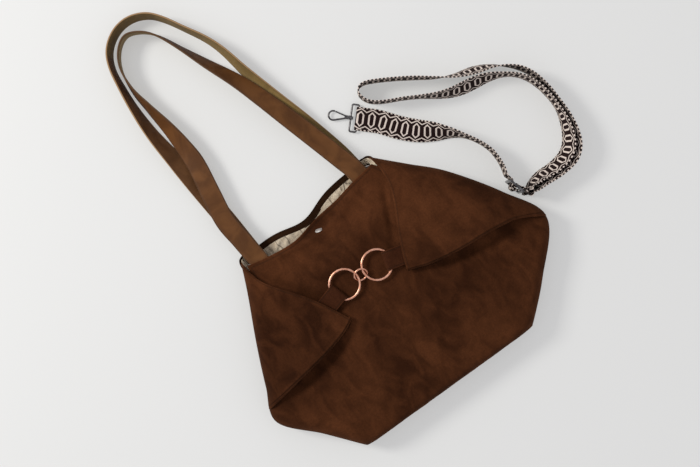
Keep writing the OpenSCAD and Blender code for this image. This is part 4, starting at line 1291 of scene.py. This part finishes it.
# Middle of the shoulder strap's webbing in mm, and its turn in degrees
STRAP_ROUTE = [
    [125.2, 193.68, 5.47, 0], [129.18, 189.47, 4.7, 0], [139.49, 178.58, 4.4, 0],
    [148.2, 166.3, 5.0, 2], [158.5, 151.5, 5.6, 8], [172.5, 135.5, 7.6, 21],
    [188, 121, 11.6, 43], [201, 108.5, 14.6, 68], [213, 94, 15.4, 86], *held(15.4, 90,
    (222.5, 77), (228, 60), (228.5, 46)), [226.5, 33, 16.4, 90], *held(18.8, 90,
    (222.57, 21.39), (223.73, 14.49), (222.06, 10.31), (219.17, 8.36), (216.56, 5.64),
    (216.74, 3.03), (217.5, 0.53), (220.9, -1.08), (224.3, -1.88), (227.35, -5.19),
    (228.55, -10.05)), [229.3, -14.6, 17.4, 91], [240, -14.6, 15.4, 105],
    [256, -13.4, 14.4, 116], [277, -15.4, 14.2, 118], [300, -13.5, 14.2, 118],
    [315, -3.5, 14.4, 114], [324.5, 13, 15, 106], [330.5, 33, 15.4, 97], *held(15.4, 90,
    (333.3, 52), (333.5, 75), (330.2, 98), (322, 116)), [309, 130.5, 15.4, 84],
    [294, 141.5, 15, 73], [274.5, 150.5, 14.4, 64], [252, 160, 15, 74],
    [231, 173.5, 15.4, 86], *held(15.4, 90, (210, 190), (190, 204.5), (170, 217.5),
    (156.5, 224.5), (147.3, 224.5), (142.6, 217.5), (144.4, 207), (151.5, 197.8),
    (164, 189), (182, 179)), [200, 167.5, 15.4, 89], [218, 155.5, 15.4, 82],
    [234, 147, 15, 72], [250, 141.5, 14.4, 64], [266, 137.5, 14.4, 64], [283, 132, 15, 74],
    [299, 123.5, 15.4, 86], *held(15.4, 90, (312, 113), (321, 100), (326.3, 84),
    (328.6, 66), (328, 48)), [324.5, 31, 15.4, 82], [318, 14.5, 15, 74],
    [309, 1.5, 14.4, 66], [296, -6.3, 14.2, 62], [277, -8.6, 14.2, 62],
    [257, -6.6, 14.4, 66], [243, -7.4, 15.2, 76], [234, -9.2, 17, 86], *held(18.8, 90,
    (230.24, -8.21), (229.31, -4.82), (227.21, -1.14), (225.21, 1.74), (224.51, 4.46),
    (223.71, 6.86), (221.42, 7.15), (219.38, 6.06), (219.49, 3.54), (219.84, 1.37))]


@dataclass
class ShoulderStrap(Part):
    """The woven strap, folded round its ring, laid beside the bag."""

    hook: tuple = (123.0, 196.0)
    way: tuple = (-0.687, 0.726)
    slider: tuple = (223.5, 3.0)

    def build(self) -> None:
        """Builds the webbing along its whole route, fold included."""
        way = np.array(self.way)
        turn = np.radians(np.linspace(-90, 80, 8))
        r, z0 = 2.3, 3.4
        fold = [[*(np.array(self.hook) - way * t), z0 - r, 0] for t in (26, 18, 9, 3)]
        fold += [[*(np.array(self.hook) + way * r * math.cos(a)), z0 + r * math.sin(a), 0]
                 for a in turn]
        upper, across = strap_frame(np.array(STRAP_ROUTE), 1.5)
        side = np.array([-way[1], way[0], 0.0])
        line = by_length(np.array(fold), np.linspace(0, 1, 34), 800)[:, :3]
        sign = np.sign(across[0] @ side)
        centre = np.vstack([line, upper[1:]])
        widths = np.vstack([np.tile(side * sign, (len(line), 1)), across[1:]])
        outside = soft((np.hypot(centre[:, 0] - self.slider[0],
                                 centre[:, 1] - self.slider[1]) - 17) / 7)
        piece = ribbon("strap_weave", centre, widths, WEBBING_W,
                       WEBBING_THIN + WEBBING_SWELL * outside, WEBBING_STEP)
        self.finish_piece(piece, self.paint.webbing, "shoulder_strap", "webbing",
                          ("strap_webbing",))


# Dome and rolled rim of the snap's cap: distance from its axis as a share of its radius,
# and height in mm before it is flattened
CAP_PROFILE = [[0, 1.1], [0.25, 1.09], [0.5, 1.04], [0.7, 0.94], [0.82, 0.8], [0.9, 0.62],
               [0.96, 0.56], [1, 0.4], [0.98, 0.25], [0.9, 0.08], [0.6, 0.05], [0.3, 0.0],
               [0, 0]]


@dataclass
class SnapCap(Part):
    """The domed cap of the snap, on the steep part of the front panel."""

    radius: float = 5.0
    flat: float = 0.8
    proud: float = 0.1

    def build(self) -> None:
        """Turns the profile about its axis and seats it on the panel's slope."""
        x, y = SNAP
        e = 0.5
        face = self.plan.face
        z = face(np.array([x - e, x + e, x, x]), np.array([y, y, y - e, y + e]))
        n = unit(np.array([z[0] - z[1], z[2] - z[3], 2 * e]))
        a = unit(np.cross([0.0, 1.0, 0.0], n))
        b = np.cross(n, a)
        line = curve(CAP_PROFILE, np.linspace(0, len(CAP_PROFILE) - 1, 72))
        turn = np.linspace(0, 2 * np.pi, 65)[:-1]
        q = (np.cos(turn)[None, :, None] * a + np.sin(turn)[None, :, None] * b)
        grid = (np.array([x, y, float(face(np.array(x), np.array(y)))]) + n * self.proud
                + q * (line[:, :1, None] * self.radius)
                + n * line[:, 1][:, None, None] * self.flat)
        rows, cols = grid.shape[:2]
        inner = grid[1:-1].reshape(-1, 3)
        points = np.vstack([inner, grid[0, 0], grid[-1, 0]])
        index = np.arange((rows - 2) * cols).reshape(rows - 2, cols)
        nxt = np.roll(index, -1, axis=1)
        quads = np.stack([index[:-1], nxt[:-1], nxt[1:], index[1:]], -1).reshape(-1, 4)
        tip, foot = len(inner), len(inner) + 1
        caps = [[tip, int(j), int(i)] for i, j in zip(index[0], nxt[0])]
        caps += [[foot, int(i), int(j)] for i, j in zip(index[-1], nxt[-1])]
        piece = add_object("snap_dome", points, quads[:, ::-1].tolist() + caps)
        self.finish_piece(piece, self.paint.nickel, "bag", "nickel", ("snap_cap",))


@dataclass
class Hardware(Part):
    """The metal parts, which keep their CAD shape."""

    def build(self) -> None:
        """Gives every metal node its finish."""
        sets = ((self.paint.copper, ("left_ring", "right_ring", "link_ring")),
                (self.paint.nickel, ("snap_socket", "snap_stud", "snap_washer",
                                     "left_dring", "right_dring")),
                (self.paint.gunmetal, ("slider_buckle", "hook_ring", "hook_body",
                                       "hook_gate", "gate_pin")))
        for material, names in sets:
            for name in names:
                dress(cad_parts[name], material)
                log.info("%s keeps its CAD shape", name)


@dataclass
class Studio:
    """Pale table, soft light from the upper left and a camera straight above.

    Heights, places and sizes are in metres, the table's own numbers in mm, and the turn
    of the camera in degrees.
    """

    height: float = 1.244
    turn: float = -38.93
    centre: tuple = (0.0233, 0.0882)
    table_half: float = 40000.0
    table_z: float = -0.5
    glow: float = 0.37
    lamp_far: float = 2.4
    lamp_way: tuple = (-0.446, 0.648, 0.617)
    lamp_size: float = 0.62
    lamp_energy: float = 37
    sky: float = 0.62

    def floor(self) -> None:
        """A plain pale table, which glows a little so that its shadows stay pale."""
        s, z = self.table_half, self.table_z
        corners = np.array([[-s, -s, z], [s, -s, z], [s, s, z], [-s, s, z]])
        table = add_object("table_top", corners, [(0, 1, 2, 3)])
        made = bpy.data.materials.new("table_white")
        made.use_nodes = True
        Graph(made.node_tree).feed(made.node_tree.nodes["Principled BSDF"], {
            "Base Color": (0.42, 0.42, 0.409, 1), "Emission Color": (1.0, 1.0, 0.98, 1),
            "Emission Strength": self.glow, "Roughness": 0.75, "Specular IOR Level": 0.15})
        table.data.materials.append(made)

    def light(self) -> None:
        """One key light that casts soft shadows, and an even sky."""
        key = bpy.data.lights.new("key", "AREA")
        key.energy, key.size = self.lamp_energy, self.lamp_size
        key.color = (1.0, 0.985, 0.95)
        lamp = bpy.data.objects.new("key", key)
        way = np.array(self.lamp_way)
        lamp.location = np.array([*self.centre, 0.0]) + way * self.lamp_far
        lamp.rotation_euler = (math.acos(way[2]), 0, math.atan2(way[0], -way[1]))
        bpy.context.scene.collection.objects.link(lamp)
        world = bpy.data.worlds.new("sky")
        world.use_nodes = True
        Graph(world.node_tree).feed(world.node_tree.nodes["Background"],
                                    {"Color": (0.93, 0.93, 1.0, 1), "Strength": self.sky})
        bpy.context.scene.world = world

    def camera(self) -> None:
        """The photo's own view."""
        data = bpy.data.cameras.new("camera")
        data.lens = 50
        data.sensor_width = 36
        data.clip_start = 0.05
        cam = bpy.data.objects.new("camera", data)
        cam.location = (*self.centre, self.height)
        cam.rotation_euler = (0, 0, math.radians(self.turn))
        bpy.context.scene.collection.objects.link(cam)
        bpy.context.scene.camera = cam
        bpy.context.scene.view_settings.view_transform = "Standard"

    def build(self) -> None:
        """Sets the scene."""
        self.floor()
        self.light()
        self.camera()


# Middles of the two handles in mm, and their turn in degrees
FRONT_ROUTE = [
    [-86.9, 141.2, 22.45, 0], [-87.3, 150, 22.6, 0], [-88, 170, 21.8, 0], [-89, 200, 20, 0],
    [-81.5, 238, 18, -3], [-73, 278, 16, -14], [-71.5, 305, 15.2, -30],
    [-72, 335, 14.5, -48], [-75, 370, 13.8, -66], [-77, 402, 13.3, -78], *held(13, -84,
    (-71.5, 432), (-58, 452), (-40, 460.5), (-21, 451)), [-8, 434, 13, -82],
    [4, 405, 13.2, -76], [17, 370, 14.8, -60], [33, 328, 19.6, -42], [44, 290, 22.4, -28],
    [54.5, 248, 22.4, -15], [66, 200, 22.6, -5], [74, 165, 22.2, 0], [77.5, 150, 22.6, 0],
    [78.5, 141.2, 22.45, 0]]
BACK_ROUTE = [
    [-88.5, 154.3, 3.9, 0], [-88.5, 164, 3.3, 0], [-88.5, 200, 3, 0], [-89.5, 248, 6.2, 15],
    [-91, 298, 10, 38], [-92.5, 344, 12, 58], [-90, 383, 12.9, 72], [-84.7, 418, 13.1, 80],
    *held(13.1, 84, (-79.5, 440), (-70.5, 456.5), (-56.5, 468), (-38.5, 474), (-20, 472.5),
    (-2.5, 463), (10.3, 446.5), (23, 421.5)), [36, 394, 13, 80], [43.5, 368, 12.9, 74],
    [49, 330, 12.4, 64], [57.5, 279, 10, 44], [65, 240, 7.6, 27], [71.5, 205, 5, 12],
    [76.5, 176, 3.6, 3], [78.5, 154.3, 3.9, 0]]
# Each wing's mouth edge and side seam run from the body's outline to the tip
WINGS = (
    {"side": Side.LEFT, "last_row": 3.58, "bulge": 4.0, "lift": 5.5,
     "mouth": [[-103.5, 126], [-99.5, 112], [-91, 97], [-78, 78], [-66, 59.5], [-56, 40],
               [-47.5, 20], [-41.5, 5.5]],
     "seam": [[-168, -17.5], [-140, -15], [-112, -12.5], [-89.5, -10], [-70, -6.5],
              [-54, -2], [-43.5, 3.2]],
     "folds": [(-150, 0, -60, 6, 12, 1.6), (-120, 60, -70, 10, 10, 1.3),
               (-140, 20, -90, 0, 7, -1.2)]},
    {"side": Side.RIGHT, "last_row": 3.95, "bulge": 4.5, "lift": 7.0,
     "mouth": [[103, 131], [99.5, 108], [89, 85], [74.5, 61], [60, 34], [50, 9.5]],
     "seam": [[208, -35], [190, -26.5], [158, -19.5], [122, -14.5], [96, -9.5],
              [76, -4], [52, 6.5]],
     "folds": [(190, -20, 80, 10, 14, 2.0), (110, 110, 84, 40, 9, -1.8),
               (150, 70, 90, 30, 10, 1.5), (200, 0, 130, 0, 10, -1.3)]})


def main() -> None:
    """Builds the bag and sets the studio."""
    logging.basicConfig(level=logging.INFO, format="%(name)s %(message)s")
    plan, paint = Plan(), Palette()
    FrontPanel(plan, paint).build()
    BackPanel(plan, paint).build()
    BasePanel(plan, paint).build()
    for wing in WINGS:
        Wing(plan, paint, **wing).build()
    edge = MOUTH_TOP - HANDLE_UNDER - HANDLE_T / 2 + HANDLE_RISE
    Handle(plan, paint, name="front", route=FRONT_ROUTE, line=0.1415,
           ends=((112, 25.5), (122, 24.2), (132, edge)), leather=paint.handle).build()
    Handle(plan, paint, name="back", route=BACK_ROUTE, line=0.1545,
           ends=((120, 3.9), (134, 3.9), (146, 3.9)), leather=paint.back_handle,
           turned=318.0).build()
    for kind in (Loops, ShoulderStrap, SnapCap, Hardware):
        kind(plan, paint).build()
    Studio().build()


if __name__ == "__main__":
    main()
